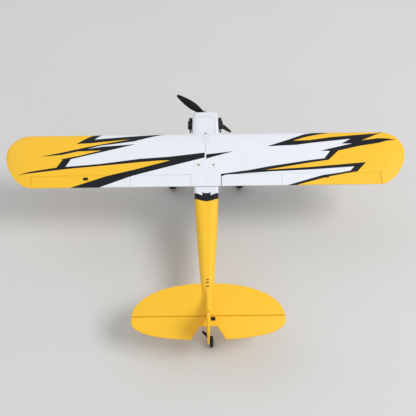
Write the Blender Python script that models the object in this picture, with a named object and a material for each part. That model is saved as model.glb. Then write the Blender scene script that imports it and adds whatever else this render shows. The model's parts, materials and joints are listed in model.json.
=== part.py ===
"""A high-wing foam model aeroplane of the bush-plane kind, standing on its wheels.

Run it with:  blender --background --python part.py

Everything is built in the airframe's own axes: +X is the right wing, +Y the nose and +Z up, with
y = 0 close to the wing's leading edge and z = 0 on the propeller shaft. An empty then tips the whole
airframe nose-up until the two main wheels and the tail wheel touch z = 0. Sizes are in metres.
"""

import math

import bmesh
import bpy
from mathutils import Matrix, Vector

# ---- driving dimensions --------------------------------------------------------------------------

GAP = 0.0004  # between pieces that touch
SEAM = 0.0002  # half the gap between the two fuselage mouldings

# wing
SPAN = 1.309
CHORD = 0.2055
WING_LE = 0.008  # y of the leading edge
WING_TE = WING_LE - CHORD
WING_FLAT = 0.0935  # z of the wing's nearly flat underside
WING_ROOT = 0.0005  # half the seam between the two wing panels
TIP_WIDEST_Y = -0.069  # where the rounded tips reach the full span
HINGE_Y = -0.158  # of flaps and ailerons
FLAP_IN = 0.0483
AILERON_IN = 0.2415
AILERON_OUT = 0.559
BAY_GAP = 0.0008  # at the ends of flaps and ailerons
SPAR = (-0.055, 0.104)  # y, z of the spar tube
SPAR_RADIUS = 0.004
SPAR_HALF = 0.32
BOLT_X, BOLT_Y = 0.024, -0.125  # the two wing bolts

# tail
STAB_HALF = 0.2215
STAB_Z = 0.030
STAB_HALF_THICK = 0.004
STAB_LE = -0.504
TAIL_WIDEST_Y = -0.615
ELEVATOR_TE = -0.6755
ELEVATOR_HINGE_Y = -0.606
HINGE_END_X = 0.208
BRIDGE_TE = -0.6365  # rear edge of the bridge that joins the elevator halves
NOTCH_IN, NOTCH_OUT = 0.0255, 0.049
RUDDER_HINGE_Y = -0.6405
FIN_HALF_THICK = 0.0048
RUDDER_BOTTOM = -0.014
FIN_TOP = 0.150
RUDDER_TE = -0.688

# nose
COWL_FRONT = 0.1685
COWL_REAR = 0.146
PROP_Y = 0.190  # middle of the propeller's hub
PROP_RADIUS = 0.143
PROP_PITCH = 0.152
PROP_REST_ANGLE = 46.0  # degrees above the horizontal of the left blade
NUT_TIP = 0.211

# landing gear
AXLE_Y, AXLE_Z = 0.022, -0.165
WHEEL_X = 0.127
WHEEL_RADIUS, WHEEL_HALF_WIDTH = 0.043, 0.014
HUB_RADIUS = 0.021
AXLE_RADIUS = 0.0018
TAIL_AXLE_Y, TAIL_AXLE_Z = -0.642, -0.088
TAIL_WHEEL_RADIUS, TAIL_WHEEL_X = 0.0175, 0.0090

# control linkages: each servo arm is as long as its horn, so each pushrod stays parallel
CRANK = 0.018  # ailerons
TAIL_CRANK = 0.016  # elevator and rudder
HORN_X = 0.384  # aileron horns and servo arms
AILERON_SERVO = (-0.105, 0.0985)  # y, z of the output shaft
ELEVATOR_LINK_X = 0.014
ELEVATOR_SERVO = (-0.110, -0.024)
RUDDER_SERVO = (-0.150, -0.020)  # y of the shaft, z of its arm
RUDDER_HORN_Z = -0.002
ROD_RADIUS = 0.0008
ROD_OFFSET = 0.0027  # from the horn's middle plane to the rod's
HOLE_RADIUS = 0.0012
PLATE = 0.001  # half thickness of horns and arms

# hatch on the nose deck
HATCH_FRONT, HATCH_REAR = 0.1400, 0.0462
HATCH_HALF = 0.0345

# Fuselage stations: y, half width, bottom z, top z, top corner radius, half width of the open top.
WALL = 0.0065
STATIONS = (
    (0.1455, 0.0450, -0.0600, 0.0425, 0.011, 0.0),
    (HATCH_FRONT + 0.0004, 0.0452, -0.0604, 0.0428, 0.010, 0.0),
    (HATCH_FRONT, 0.0452, -0.0604, 0.0428, 0.010, HATCH_HALF),
    (0.1175, 0.0460, -0.0625, 0.0440, 0.010, HATCH_HALF),
    (0.0850, 0.0466, -0.0655, 0.0460, 0.010, HATCH_HALF),
    (HATCH_REAR, 0.0466, -0.0660, 0.0480, 0.010, HATCH_HALF),
    (HATCH_REAR - 0.0004, 0.0466, -0.0660, 0.0480, 0.010, 0.0),
    (0.0405, 0.0465, -0.0660, 0.0485, 0.011, 0.0),
    (0.0401, 0.0465, -0.0660, 0.0490, 0.011, 0.034),
    (0.0062, 0.0455, -0.0662, 0.0908, 0.006, 0.034),
    (0.0058, 0.0455, -0.0662, 0.0908, 0.006, 0.030),
    (-0.0400, 0.0439, -0.0664, 0.0908, 0.006, 0.030),
    (-0.1000, 0.0419, -0.0655, 0.0908, 0.006, 0.030),
    (-0.1156, 0.0413, -0.0652, 0.0908, 0.006, 0.030),
    (-0.1160, 0.0413, -0.0652, 0.0908, 0.006, 0.0),
    (-0.1340, 0.0407, -0.0645, 0.0908, 0.006, 0.0),
    (-0.1344, 0.0407, -0.0645, 0.0908, 0.006, 0.030),
    (-0.1850, 0.0390, -0.0618, 0.0908, 0.006, 0.030),
    (-0.1854, 0.0390, -0.0618, 0.0908, 0.006, 0.0),
    (-0.1990, 0.0385, -0.0610, 0.0908, 0.008, 0.0),
    (-0.2380, 0.0370, -0.0580, 0.0660, 0.020, 0.0),
    (-0.3000, 0.0340, -0.0510, 0.0580, 0.026, 0.0),
    (-0.4300, 0.0250, -0.0360, 0.0490, 0.021, 0.0),
    (-0.5050, 0.0188, -0.0270, 0.0445, 0.016, 0.0),
    (-0.5750, 0.0110, -0.0190, 0.0415, 0.008, 0.0),
    (-0.6036, 0.0080, -0.0160, 0.0400, 0.005, 0.0),
    (-0.6040, 0.0080, -0.0160, 0.0090, 0.003, 0.0),
    (-0.6380, 0.0060, -0.0145, 0.0060, 0.003, 0.0),
)

# The airframe's stance: both axles sit one wheel radius above the ground.
_RUN = AXLE_Y - TAIL_AXLE_Y
_DROP = TAIL_AXLE_Z - AXLE_Z
STANCE = math.asin((WHEEL_RADIUS - TAIL_WHEEL_RADIUS) / math.hypot(_RUN, _DROP)) + math.atan2(_DROP, _RUN)
GROUND_LIFT = WHEEL_RADIUS - AXLE_Y * math.sin(STANCE) - AXLE_Z * math.cos(STANCE)
MID_SHIFT = -0.5 * (NUT_TIP + RUDDER_TE) * math.cos(STANCE) + 0.00667  # centres the overall length

# ---- materials -----------------------------------------------------------------------------------


def make_material(name, colour, roughness, metallic=0.0):
    """A plain Principled BSDF."""
    material = bpy.data.materials.new(name)
    material.use_nodes = True
    shader = material.node_tree.nodes["Principled BSDF"]
    shader.inputs["Base Color"].default_value = (*colour, 1.0)
    shader.inputs["Roughness"].default_value = roughness
    shader.inputs["Metallic"].default_value = metallic
    return material


def make_materials():
    """Every material of the aeroplane, by name."""
    looks = {
        "white_foam": ((0.80, 0.83, 0.88), 0.55, 0.0),
        "yellow_foam": ((0.97, 0.58, 0.05), 0.55, 0.0),
        "black_plastic": ((0.02, 0.02, 0.023), 0.45, 0.0),
        "white_plastic": ((0.80, 0.83, 0.88), 0.35, 0.0),
        "clear_plastic": ((0.10, 0.11, 0.12), 0.10, 0.0),
        "rubber": ((0.015, 0.015, 0.016), 0.8, 0.0),
        "steel": ((0.55, 0.56, 0.58), 0.3, 1.0),
        "brass": ((0.60, 0.42, 0.18), 0.35, 1.0),
        "carbon": ((0.02, 0.02, 0.02), 0.3, 0.0),
        "plywood": ((0.55, 0.38, 0.20), 0.7, 0.0),
        "servo_blue": ((0.02, 0.05, 0.20), 0.35, 0.0),
        "battery_wrap": ((0.03, 0.06, 0.12), 0.4, 0.0),
    }
    return {name: make_material(name, *look) for name, look in looks.items()}


# ---- mesh tools ----------------------------------------------------------------------------------


def mesh_of(bm, name):
    """A finished mesh from a bmesh, its faces pointing out."""
    bmesh.ops.recalc_face_normals(bm, faces=bm.faces)
    mesh = bpy.data.meshes.new(name)
    bm.to_mesh(mesh)
    bm.free()
    return mesh


def loft(name, rings, ends_meet=False):
    """Skins rings of equally many points. Open ends get a flat cap."""
    bm = bmesh.new()
    rows = [[bm.verts.new(point) for point in ring] for ring in rings]
    count = len(rows[0])
    pairs = list(zip(rows, rows[1:]))
    if ends_meet:
        pairs.append((rows[-1], rows[0]))
    else:
        bm.faces.new(rows[0])
        bm.faces.new(rows[-1])
    for first, second in pairs:
        for i in range(count):
            j = (i + 1) % count
            bm.faces.new((first[i], first[j], second[j], second[i]))
    return mesh_of(bm, name)


def box(name, low, high):
    """A box between two corners."""
    bm = bmesh.new()
    bmesh.ops.create_cube(bm, size=1.0)
    low, high = Vector(low), Vector(high)
    size = high - low
    bmesh.ops.scale(bm, vec=size, verts=bm.verts)
    bmesh.ops.translate(bm, vec=(low + high) / 2, verts=bm.verts)
    return mesh_of(bm, name)


def prism(name, outline, axis, low, high):
    """An outline swept along axis "X", "Y" or "Z" from low to high. Its points hold the other two axes."""
    order = {"X": lambda a, b, t: (t, a, b), "Y": lambda a, b, t: (a, t, b), "Z": lambda a, b, t: (a, b, t)}
    put = order[axis]
    return loft(name, [[put(a, b, t) for a, b in outline] for t in (low, high)])


def turned(name, profile, centre, direction, steps=24):
    """A closed outline of (radius, height) points turned about an axis through centre."""
    bm = bmesh.new()
    verts = [bm.verts.new((radius, 0.0, height)) for radius, height in profile]
    edges = [bm.edges.new(pair) for pair in zip(verts, verts[1:])]
    if min(radius for radius, _ in profile) > 0.0:
        edges.append(bm.edges.new((verts[-1], verts[0])))
    bmesh.ops.spin(
        bm, geom=verts + edges, axis=(0, 0, 1), cent=(0, 0, 0), angle=math.tau, steps=steps, use_merge=True
    )
    bmesh.ops.remove_doubles(bm, verts=bm.verts, dist=1e-6)
    turn = Vector((0, 0, 1)).rotation_difference(Vector(direction)).to_matrix().to_4x4()
    bm.transform(Matrix.Translation(centre) @ turn)
    return mesh_of(bm, name)


def tube(name, points, radius, sides=10):
    """A round rod along a bent line, mitred at its corners."""
    points = [Vector(p) for p in points]
    legs = [(b - a).normalized() for a, b in zip(points, points[1:])]
    side = legs[0].orthogonal().normalized()
    rings = []
    for i, point in enumerate(points):
        before, after = legs[max(i - 1, 0)], legs[min(i, len(legs) - 1)]
        side = before.rotation_difference(after) @ side
        cut = (before + after).normalized()
        up = after.cross(side)
        ring = []
        for k in range(sides):
            angle = math.tau * k / sides
            offset = radius * (math.cos(angle) * side + math.sin(angle) * up)
            slide = offset.dot(cut) / after.dot(cut)
            ring.append(point + offset - slide * after)
        rings.append(ring)
    return loft(name, rings)


def inset(outline, distance):
    """The closed outline moved inwards, by one distance or by one for each point."""
    area = sum(a[0] * b[1] - b[0] * a[1] for a, b in zip(outline, outline[1:] + outline[:1]))
    turn = 1.0 if area > 0 else -1.0
    count = len(outline)
    distances = distance if isinstance(distance, list) else [distance] * count
    moved = []
    for i, point in enumerate(outline):
        here = Vector(point)
        into = (here - Vector(outline[i - 1])).normalized()
        out = (Vector(outline[(i + 1) % count]) - here).normalized()
        n1, n2 = Vector((-into.y, into.x)) * turn, Vector((-out.y, out.x)) * turn
        moved.append(here + (n1 + n2) / max(1.0 + n1.dot(n2), 0.4) * distances[i])
    return moved


def slab(name, outline, half_thick, edge, put):
    """A flat foam panel with blunt ridged edges: the outline at mid height, inset above and below."""
    small = inset(outline, edge)
    levels = ((small, -half_thick), (outline, 0.0), (small, half_thick))
    return loft(name, [[put(a, b, t) for a, b in points] for points, t in levels])


# ---- objects -------------------------------------------------------------------------------------


class Builder:
    """Makes the objects and hangs them on the tipped airframe."""

    def __init__(self):
        self.materials = make_materials()
        self.airframe = bpy.data.objects.new("airframe", None)
        bpy.context.scene.collection.objects.link(self.airframe)
        self.airframe.rotation_euler = (STANCE, 0.0, 0.0)
        self.airframe.location = (0.0, MID_SHIFT, GROUND_LIFT)

    def add(self, name, mesh, material, pivot=(0.0, 0.0, 0.0), smooth=None):
        """Adds a piece. A moving piece has its origin on its joint's axis."""
        mesh.transform(Matrix.Translation(-Vector(pivot)))
        if smooth is not None:
            mesh.shade_smooth()
            mesh.set_sharp_from_angle(angle=math.radians(smooth))
        obj = bpy.data.objects.new(name, mesh)
        bpy.context.scene.collection.objects.link(obj)
        obj.parent = self.airframe
        obj.location = pivot
        mesh.materials.append(self.materials[material])
        return obj

    def helper(self, mesh):
        """A cutter or a shape to be joined on, which isn't a piece itself."""
        obj = bpy.data.objects.new(mesh.name, mesh)
        bpy.context.scene.collection.objects.link(obj)
        obj.parent = self.airframe
        obj.hide_render = True
        obj.display_type = "WIRE"
        return obj

    def combine(self, obj, helpers, operation):
        """Cuts helpers from obj, or joins them to it."""
        for helper in helpers:
            modifier = obj.modifiers.new(helper.name, "BOOLEAN")
            modifier.operation = operation
            modifier.object = helper
            modifier.solver = "EXACT"

    def cut(self, obj, *helpers):
        self.combine(obj, helpers, "DIFFERENCE")

    def join(self, obj, *meshes):
        self.combine(obj, [self.helper(mesh) for mesh in meshes], "UNION")


# ---- wing ----------------------------------------------------------------------------------------


def thickness_share(share):
    """The classic four-digit thickness curve, 1 at its fullest."""
    root = math.sqrt(max(share, 0.0))
    return 10 * (0.2969 * root - 0.126 * share - 0.3516 * share**2 + 0.2843 * share**3 - 0.1036 * share**4)


def wing_height(y, top):
    """z of the wing's upper or lower surface where its chord is full."""
    share = min(max((WING_LE - y) / CHORD, 0.0), 1.0)
    middle = WING_FLAT + 0.0075 - 0.0063 * share
    edge = 0.0012 * share
    if top:
        return middle + 0.0175 * thickness_share(share) + edge
    return middle - 0.0068 * thickness_share(share) - edge


def wing_edges(x):
    """y of the leading and trailing edges at a spanwise place: straight, with rounded tips."""
    tip = SPAN / 2

    def reach(start, length, power):
        share = min(max((abs(x) - start) / (tip - start), 0.0), 1.0)
        return length * (1.0 - share**power) ** (1.0 / power)

    front = TIP_WIDEST_Y + reach(0.580, WING_LE - TIP_WIDEST_Y, 2.2)
    return front, TIP_WIDEST_Y - reach(0.560, TIP_WIDEST_Y - WING_TE, 1.6)


def airfoil_ring(x):
    """The wing's section at x, thinner as the chord shortens at the tip."""
    front, rear = wing_edges(x)
    size = (front - rear) / CHORD
    middle_z = WING_FLAT + 0.006
    shares = [0.5 - 0.5 * math.cos(math.pi * k / 11) for k in range(12)]
    upper = [(share, True) for share in shares]
    lower = [(share, False) for share in reversed(shares[1:])]
    ring = []
    for share, top in upper + lower:
        z = wing_height(WING_LE - share * CHORD, top)
        ring.append((x, front - share * (front - rear), middle_z + (z - middle_z) * size**0.8))
    return ring


def wing_panels(build):
    """The two panels, cut for flaps, ailerons, spar, bolts and servos."""
    spar_bore = build.helper(
        tube("spar_bore", [(-SPAR_HALF - 0.001, *SPAR), (SPAR_HALF + 0.001, *SPAR)], SPAR_RADIUS + GAP, 16)
    )
    pocket_front, pocket_rear = AILERON_SERVO[0] + 0.020, AILERON_SERVO[0] - 0.018
    for side, name in ((-1, "left"), (1, "right")):
        spots = (WING_ROOT, 0.3, 0.560, 0.590, 0.612, 0.628, 0.640, 0.6485, 0.6540)
        wing = build.add(
            f"wing_{name}", loft(f"wing_{name}", [airfoil_ring(side * x) for x in spots]), "white_foam",
            smooth=40
        )
        bay = box(
            f"bay_{name}",
            (min(side * FLAP_IN, side * AILERON_OUT), WING_TE - 0.01, 0.08),
            (max(side * FLAP_IN, side * AILERON_OUT), HINGE_Y, 0.13),
        )
        pocket_x = sorted((side * (HORN_X - 0.0305), side * (HORN_X + 0.0045)))
        pocket = box(
            f"servo_pocket_{name}", (pocket_x[0], pocket_rear, 0.085), (pocket_x[1], pocket_front, 0.1060)
        )
        bolt_hole = tube(
            f"bolt_hole_{name}", [(side * BOLT_X, BOLT_Y, 0.07), (side * BOLT_X, BOLT_Y, 0.14)], 0.0024, 12
        )
        head_z = wing_height(BOLT_Y, True) - 0.0016
        recess = tube(
            f"bolt_recess_{name}", [(side * BOLT_X, BOLT_Y, head_z), (side * BOLT_X, BOLT_Y, 0.14)], 0.0042,
            16
        )
        build.cut(wing, spar_bore, *(build.helper(mesh) for mesh in (bay, pocket, bolt_hole, recess)))
        bolt = turned(
            f"wing_bolt_{name}",
            [
                (0, -0.030), (0.0019, -0.030), (0.0019, GAP), (0.0036, GAP), (0.0036, 0.0018),
                (0.0026, 0.0026), (0, 0.0026)
            ],
            (side * BOLT_X, BOLT_Y, head_z),
            (0, 0, 1),
            16,
        )
        build.add(f"wing_bolt_{name}", bolt, "brass", smooth=30)
    spar = tube("wing_spar", [(-SPAR_HALF, *SPAR), (SPAR_HALF, *SPAR)], SPAR_RADIUS, 16)
    build.add("wing_spar", spar, "carbon", smooth=30)


def trailing_surface(name, low_x, high_x):
    """A flap or an aileron: the wing's section behind the hinge, bevelled below so that it can drop."""
    front = HINGE_Y - GAP
    upper = [(y, wing_height(y, True)) for y in (front, -0.170, -0.184)]
    edge_y = WING_TE
    tail = [(edge_y, wing_height(edge_y, True)), (edge_y, wing_height(edge_y, False))]
    lower = [(y, wing_height(y, False)) for y in (-0.182, front - 0.0085)]
    return prism(name, upper + tail + lower, "X", low_x, high_x)


def hinge_line():
    """The hinge of flaps and ailerons runs along the upper skin."""
    return (0.0, HINGE_Y, wing_height(HINGE_Y, True))


def flaps_and_ailerons(build):
    """Both flaps and both ailerons, the ailerons with a slot for their horns."""
    for side, name in ((-1, "left"), (1, "right")):
        flap_x = sorted((side * (FLAP_IN + BAY_GAP), side * (AILERON_IN - BAY_GAP / 2)))
        aileron_x = sorted((side * (AILERON_IN + BAY_GAP / 2), side * (AILERON_OUT - BAY_GAP)))
        build.add(f"flap_{name}", trailing_surface("flap", *flap_x), "white_foam", hinge_line())
        aileron = build.add(
            f"aileron_{name}", trailing_surface("aileron", *aileron_x), "yellow_foam", hinge_line()
        )
        post_hole = box(
            f"horn_slot_{name}",
            (side * HORN_X - 0.0034, HINGE_Y - 0.0144, 0.08),
            (side * HORN_X + 0.0034, HINGE_Y - 0.0096, 0.12),
        )
        build.cut(aileron, build.helper(post_hole))


# ---- linkages ------------------------------------------------------------------------------------


def with_hole(build, obj, name, centre, direction):
    """Drills the pushrod hole through a thin plate."""
    centre, direction = Vector(centre), Vector(direction)
    ends = [centre - direction * 0.006, centre + direction * 0.006]
    build.cut(obj, build.helper(tube(name, ends, HOLE_RADIUS, 12)))


def crank_outline(pin, pivot, wide=0.0042, narrow=0.0026):
    """The outline of a servo arm from its hub at pivot to its pin."""
    pivot, pin = Vector(pivot), Vector(pin)
    along = (pin - pivot).normalized()
    across = Vector((-along.y, along.x))
    return [
        pivot + across * wide,
        pivot - along * wide * 0.7 + across * wide * 0.7,
        pivot - along * wide * 0.7 - across * wide * 0.7,
        pivot - across * wide,
        pin - across * narrow,
        pin + along * narrow * 0.9 - across * narrow * 0.5,
        pin + along * narrow * 0.9 + across * narrow * 0.5,
        pin + across * narrow,
    ]


def aileron_linkages(build):
    """Horn, servo, arm and pushrod of each aileron."""
    _, hinge_y, hinge_z = hinge_line()
    pin = (hinge_y, hinge_z - CRANK)
    servo_y, servo_z = AILERON_SERVO
    arm_pin = (servo_y, servo_z - CRANK)
    for side, name in ((-1, "left"), (1, "right")):
        x = side * HORN_X
        plate_x = (x - PLATE, x + PLATE)
        under = wing_height(hinge_y - 0.012, False) - GAP
        above = wing_height(hinge_y - 0.0085, True) + GAP
        blade = [
            (hinge_y - 0.004, under - 0.001), (hinge_y + 0.0028, pin[1] + 0.001),
            (hinge_y + 0.0018, pin[1] - 0.0026)
        ]
        blade += [(hinge_y - 0.0022, pin[1] - 0.0026), (hinge_y - 0.017, under - 0.001)]
        horn = build.add(
            f"aileron_horn_{name}", prism("aileron_horn", blade, "X", *plate_x), "black_plastic", hinge_line()
        )
        base = box(
            f"horn_base_{name}", (x - 0.006, hinge_y - 0.0185, under - 0.0016),
            (x + 0.006, hinge_y - 0.0095, under)
        )
        post = box(
            f"horn_post_{name}", (x - 0.003, hinge_y - 0.014, under - 0.001),
            (x + 0.003, hinge_y - 0.010, above + 0.0008)
        )
        cap = box(
            f"horn_cap_{name}", (x - 0.0075, hinge_y - 0.0165, above),
            (x + 0.0075, hinge_y - 0.0075, above + 0.0014)
        )
        build.join(horn, base, post, cap)
        with_hole(build, horn, f"horn_hole_{name}", (x, *pin), (1, 0, 0))

        arm_mesh = prism("servo_arm", crank_outline(arm_pin, AILERON_SERVO), "X", *plate_x)
        arm = build.add(f"aileron_arm_{name}", arm_mesh, "white_plastic", (x, servo_y, servo_z))
        with_hole(build, arm, f"arm_hole_{name}", (x, *arm_pin), (1, 0, 0))

        near, far = x - side * 0.0022, x + side * ROD_OFFSET
        path = [(near, *arm_pin), (far, *arm_pin), (far, *pin), (near, *pin)]
        build.add(f"aileron_rod_{name}", tube("rod", path, ROD_RADIUS, 8), "steel", (x, *arm_pin), smooth=50)

        body_x = sorted((x - side * 0.0290, x - side * 0.0035))
        low = (body_x[0], servo_y - 0.0165, servo_z - 0.006)
        high = (body_x[1], servo_y + 0.0065, servo_z + 0.006)
        servo = build.add(f"aileron_servo_{name}", box("servo", low, high), "servo_blue")
        boss = turned(
            f"servo_boss_{name}",
            [(0, -0.002), (0.0045, -0.002), (0.0045, 0.0022), (0, 0.0022)],
            (x - side * 0.0035, servo_y, servo_z),
            (side, 0, 0),
            12,
        )
        build.join(servo, boss)


def elevator_linkage(build):
    """Horn, servo, arm and pushrod of the elevator, on the right of the fuselage."""
    x = ELEVATOR_LINK_X
    pin = (ELEVATOR_HINGE_Y, STAB_Z - TAIL_CRANK)
    pivot = (0.0, ELEVATOR_HINGE_Y, STAB_Z)
    servo_y, servo_z = ELEVATOR_SERVO
    arm_pin = (servo_y, servo_z - TAIL_CRANK)
    under, above = STAB_Z - STAB_HALF_THICK - GAP, STAB_Z + STAB_HALF_THICK + GAP
    blade = [
        (pivot[1] - 0.0045, under), (pivot[1] + 0.0028, pin[1] + 0.001), (pivot[1] + 0.0018, pin[1] - 0.0026)
    ]
    blade += [(pivot[1] - 0.0022, pin[1] - 0.0026), (pivot[1] - 0.015, under)]
    horn = build.add(
        "elevator_horn", prism("elevator_horn", blade, "X", x - PLATE, x + PLATE), "black_plastic", pivot
    )
    base = box(
        "elevator_horn_base", (x - 0.005, pivot[1] - 0.0155, under - 0.0015),
        (x + 0.005, pivot[1] - 0.0045, under)
    )
    post = box(
        "elevator_horn_post", (x - 0.0025, pivot[1] - 0.012, under - 0.001),
        (x + 0.0025, pivot[1] - 0.008, above + 0.0008)
    )
    cap = box(
        "elevator_horn_cap", (x - 0.006, pivot[1] - 0.0150, above),
        (x + 0.006, pivot[1] - 0.0045, above + 0.0014)
    )
    build.join(horn, base, post, cap)
    with_hole(build, horn, "elevator_horn_hole", (x, *pin), (1, 0, 0))

    arm_mesh = prism("elevator_arm", crank_outline(arm_pin, ELEVATOR_SERVO), "X", x - PLATE, x + PLATE)
    arm = build.add("elevator_arm", arm_mesh, "white_plastic", (x, servo_y, servo_z))
    with_hole(build, arm, "elevator_arm_hole", (x, *arm_pin), (1, 0, 0))
    near, far = x - 0.0022, x + ROD_OFFSET
    path = [(near, *arm_pin), (far, *arm_pin), (far, *pin), (near, *pin)]
    build.add("elevator_rod", tube("elevator_rod", path, ROD_RADIUS, 8), "steel", (x, *arm_pin), smooth=50)

    low, high = (-0.0115, servo_y - 0.0165, servo_z - 0.006), (x - 0.0035, servo_y + 0.0065, servo_z + 0.006)
    servo = build.add("elevator_servo", box("elevator_servo", low, high), "servo_blue")
    profile = [(0, -0.002), (0.0045, -0.002), (0.0045, 0.0022), (0, 0.0022)]
    build.join(servo, turned("elevator_boss", profile, (x - 0.0035, servo_y, servo_z), (1, 0, 0), 12))


def rudder_linkage(build):
    """Horn, servo, arm and pushrod of the rudder, on the left of the fuselage."""
    hinge = (0.0, RUDDER_HINGE_Y, 0.0)
    z = RUDDER_HORN_Z
    pin = (-TAIL_CRANK, RUDDER_HINGE_Y)
    wall = -FIN_HALF_THICK - GAP
    blade = [
        (wall, RUDDER_HINGE_Y - 0.0045), (pin[0] + 0.001, pin[1] + 0.0028), (pin[0] - 0.0026, pin[1] + 0.0018)
    ]
    blade += [(pin[0] - 0.0026, pin[1] - 0.0022), (wall, RUDDER_HINGE_Y - 0.017)]
    horn = build.add(
        "rudder_horn", prism("rudder_horn", blade, "Z", z - PLATE, z + PLATE), "black_plastic", hinge
    )
    near, far = RUDDER_HINGE_Y - 0.0045, RUDDER_HINGE_Y - 0.0175
    foot = [(-FIN_HALF_THICK * rudder_taper(y) - GAP, y) for y in (near, far)]
    foot += [(wall - 0.0015, far), (wall - 0.0015, near)]
    build.join(horn, prism("rudder_horn_base", foot, "Z", z - 0.005, z + 0.005))
    with_hole(build, horn, "rudder_horn_hole", (*pin, z), (0, 0, 1))

    servo_y, arm_z = RUDDER_SERVO
    arm_pin = (-TAIL_CRANK, servo_y)
    arm_mesh = prism("rudder_arm", crank_outline(arm_pin, (0.0, servo_y)), "Z", arm_z - PLATE, arm_z + PLATE)
    arm = build.add("rudder_arm", arm_mesh, "white_plastic", (0.0, servo_y, arm_z))
    with_hole(build, arm, "rudder_arm_hole", (*arm_pin, arm_z), (0, 0, 1))
    path = [
        (*arm_pin, arm_z + 0.0022), (*arm_pin, arm_z - ROD_OFFSET), (*pin, z - ROD_OFFSET), (*pin, z + 0.0022)
    ]
    build.add("rudder_rod", tube("rudder_rod", path, ROD_RADIUS, 8), "steel", (*arm_pin, arm_z), smooth=50)

    low, high = (-0.006, servo_y - 0.0165, -0.0524), (0.006, servo_y + 0.0065, arm_z - 0.0045)
    servo = build.add("rudder_servo", box("rudder_servo", low, high), "servo_blue")
    profile = [(0, -0.002), (0.0045, -0.002), (0.0045, 0.0030), (0, 0.0030)]
    build.join(servo, turned("rudder_boss", profile, (0.0, servo_y, arm_z - 0.0045), (0, 0, 1), 12))


# ---- fuselage ------------------------------------------------------------------------------------


def half_section(half_width, bottom, top, corner, opening):
    """Points of a rounded section's right half, from the top edge round to the keel."""
    corner = min(corner, half_width * 0.85, (top - bottom) * 0.45)
    keel_corner = min(0.012, half_width * 0.6, (top - bottom) * 0.3)
    start = max(SEAM, min(opening, half_width - corner * 0.55))
    points = [(start, top)]
    for k in range(5):
        angle = math.radians(90 - 22.5 * k)
        x = half_width - corner + corner * math.cos(angle)
        z = top - corner + corner * math.sin(angle)
        points.append((max(x, start + 0.0001 * (k + 1)), z))
    for k in range(4):
        angle = math.radians(-30 * k)
        points.append(
            (
                half_width - keel_corner + keel_corner * math.cos(angle),
                bottom + keel_corner + keel_corner * math.sin(angle)
            )
        )
    points.append((SEAM, bottom))
    return points


def fuselage_ring(station):
    """A C-shaped ring: the outer skin down to the keel and the inner skin back up."""
    y, half_width, bottom, top, corner, opening = station
    wall = min(WALL, half_width * 0.62)
    outer = half_section(half_width, bottom, top, corner, opening)
    inner = half_section(half_width - wall, bottom + wall, top - wall, max(corner - wall, 0.0012), opening)
    return [(x, y, z) for x, z in outer + inner[::-1]]


def fuselage(build):
    """The two foam mouldings, glued along the middle on the real aeroplane."""
    cutters = [build.helper(mesh) for mesh in window_cutters()]
    slot_front, slot_rear = STAB_LE + 0.0006, ELEVATOR_HINGE_Y - 0.002
    slot = box(
        "stabilizer_slot",
        (-0.06, slot_rear, STAB_Z - STAB_HALF_THICK - GAP),
        (0.06, slot_front, STAB_Z + STAB_HALF_THICK + GAP),
    )
    cutters.append(build.helper(slot))
    exits = {
        "left": box("rudder_rod_exit", (-0.030, -0.560, -0.017), (-0.0085, -0.440, -0.0025)),
        "right": box("elevator_rod_exit", (0.0100, -0.570, -0.0085), (0.030, -0.420, 0.0150)),
    }
    for side, name in ((-1, "left"), (1, "right")):
        rings = [[(side * x, y, z) for x, y, z in fuselage_ring(s)] for s in STATIONS]
        shell = build.add(f"fuselage_{name}", loft(f"fuselage_{name}", rings), "yellow_foam", smooth=30)
        hole_x = side * BOLT_X
        bolt_hole = tube(f"saddle_hole_{name}", [(hole_x, BOLT_Y, 0.07), (hole_x, BOLT_Y, 0.12)], 0.0024, 12)
        build.cut(shell, *cutters, build.helper(exits[name]), build.helper(bolt_hole))


def window_cutters():
    """Two openings through both cabin sides."""
    front = [(0.033, 0.016), (-0.060, 0.016), (-0.060, 0.078), (0.006, 0.078), (0.027, 0.044)]
    rear = [(-0.070, 0.016), (-0.135, 0.016), (-0.170, 0.050), (-0.170, 0.078), (-0.070, 0.078)]
    return [prism("front_window", front, "X", -0.08, 0.08), prism("rear_window", rear, "X", -0.08, 0.08)]


def glazing(build):
    """Windshield on the slope before the wing, and a pane inside each cabin wall."""
    lift, thick = 0.0006, 0.001
    low, high = Vector((0.0400, 0.0490)), Vector((0.0066, 0.0905))
    along = (high - low).normalized()
    out = Vector((-along.y, along.x)) * (-1 if along.x > 0 else 1)
    out = out if out.y > 0 else -out
    profile = [low + out * lift, high - along * 0.001 + out * lift]
    profile += [profile[1] + out * thick, profile[0] + out * thick]
    build.add(
        "windshield", prism("windshield", [(p.x, p.y) for p in profile], "X", -0.0415, 0.0415),
        "clear_plastic"
    )
    outline = [(0.037, 0.012), (-0.176, 0.012), (-0.176, 0.0815), (0.006, 0.0815), (0.031, 0.0455)]
    front_x, rear_x = station_width(0.037) - WALL - 0.0005, station_width(-0.176) - WALL - 0.0005
    for side, name in ((-1, "left"), (1, "right")):
        rings = []
        for depth in (0.0, 0.001):
            wall = [rear_x + (front_x - rear_x) * (y + 0.176) / 0.213 - depth for y, _ in outline]
            rings.append([(side * x, y, z) for x, (y, z) in zip(wall, outline)])
        build.add(f"window_{name}", loft(f"window_{name}", rings), "clear_plastic")


def station_width(y):
    """The fuselage's half width at y, between its stations."""
    for first, second in zip(STATIONS, STATIONS[1:]):
        if second[0] <= y <= first[0]:
            share = (first[0] - y) / (first[0] - second[0])
            return first[1] + share * (second[1] - first[1])
    return STATIONS[0][1]


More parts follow.
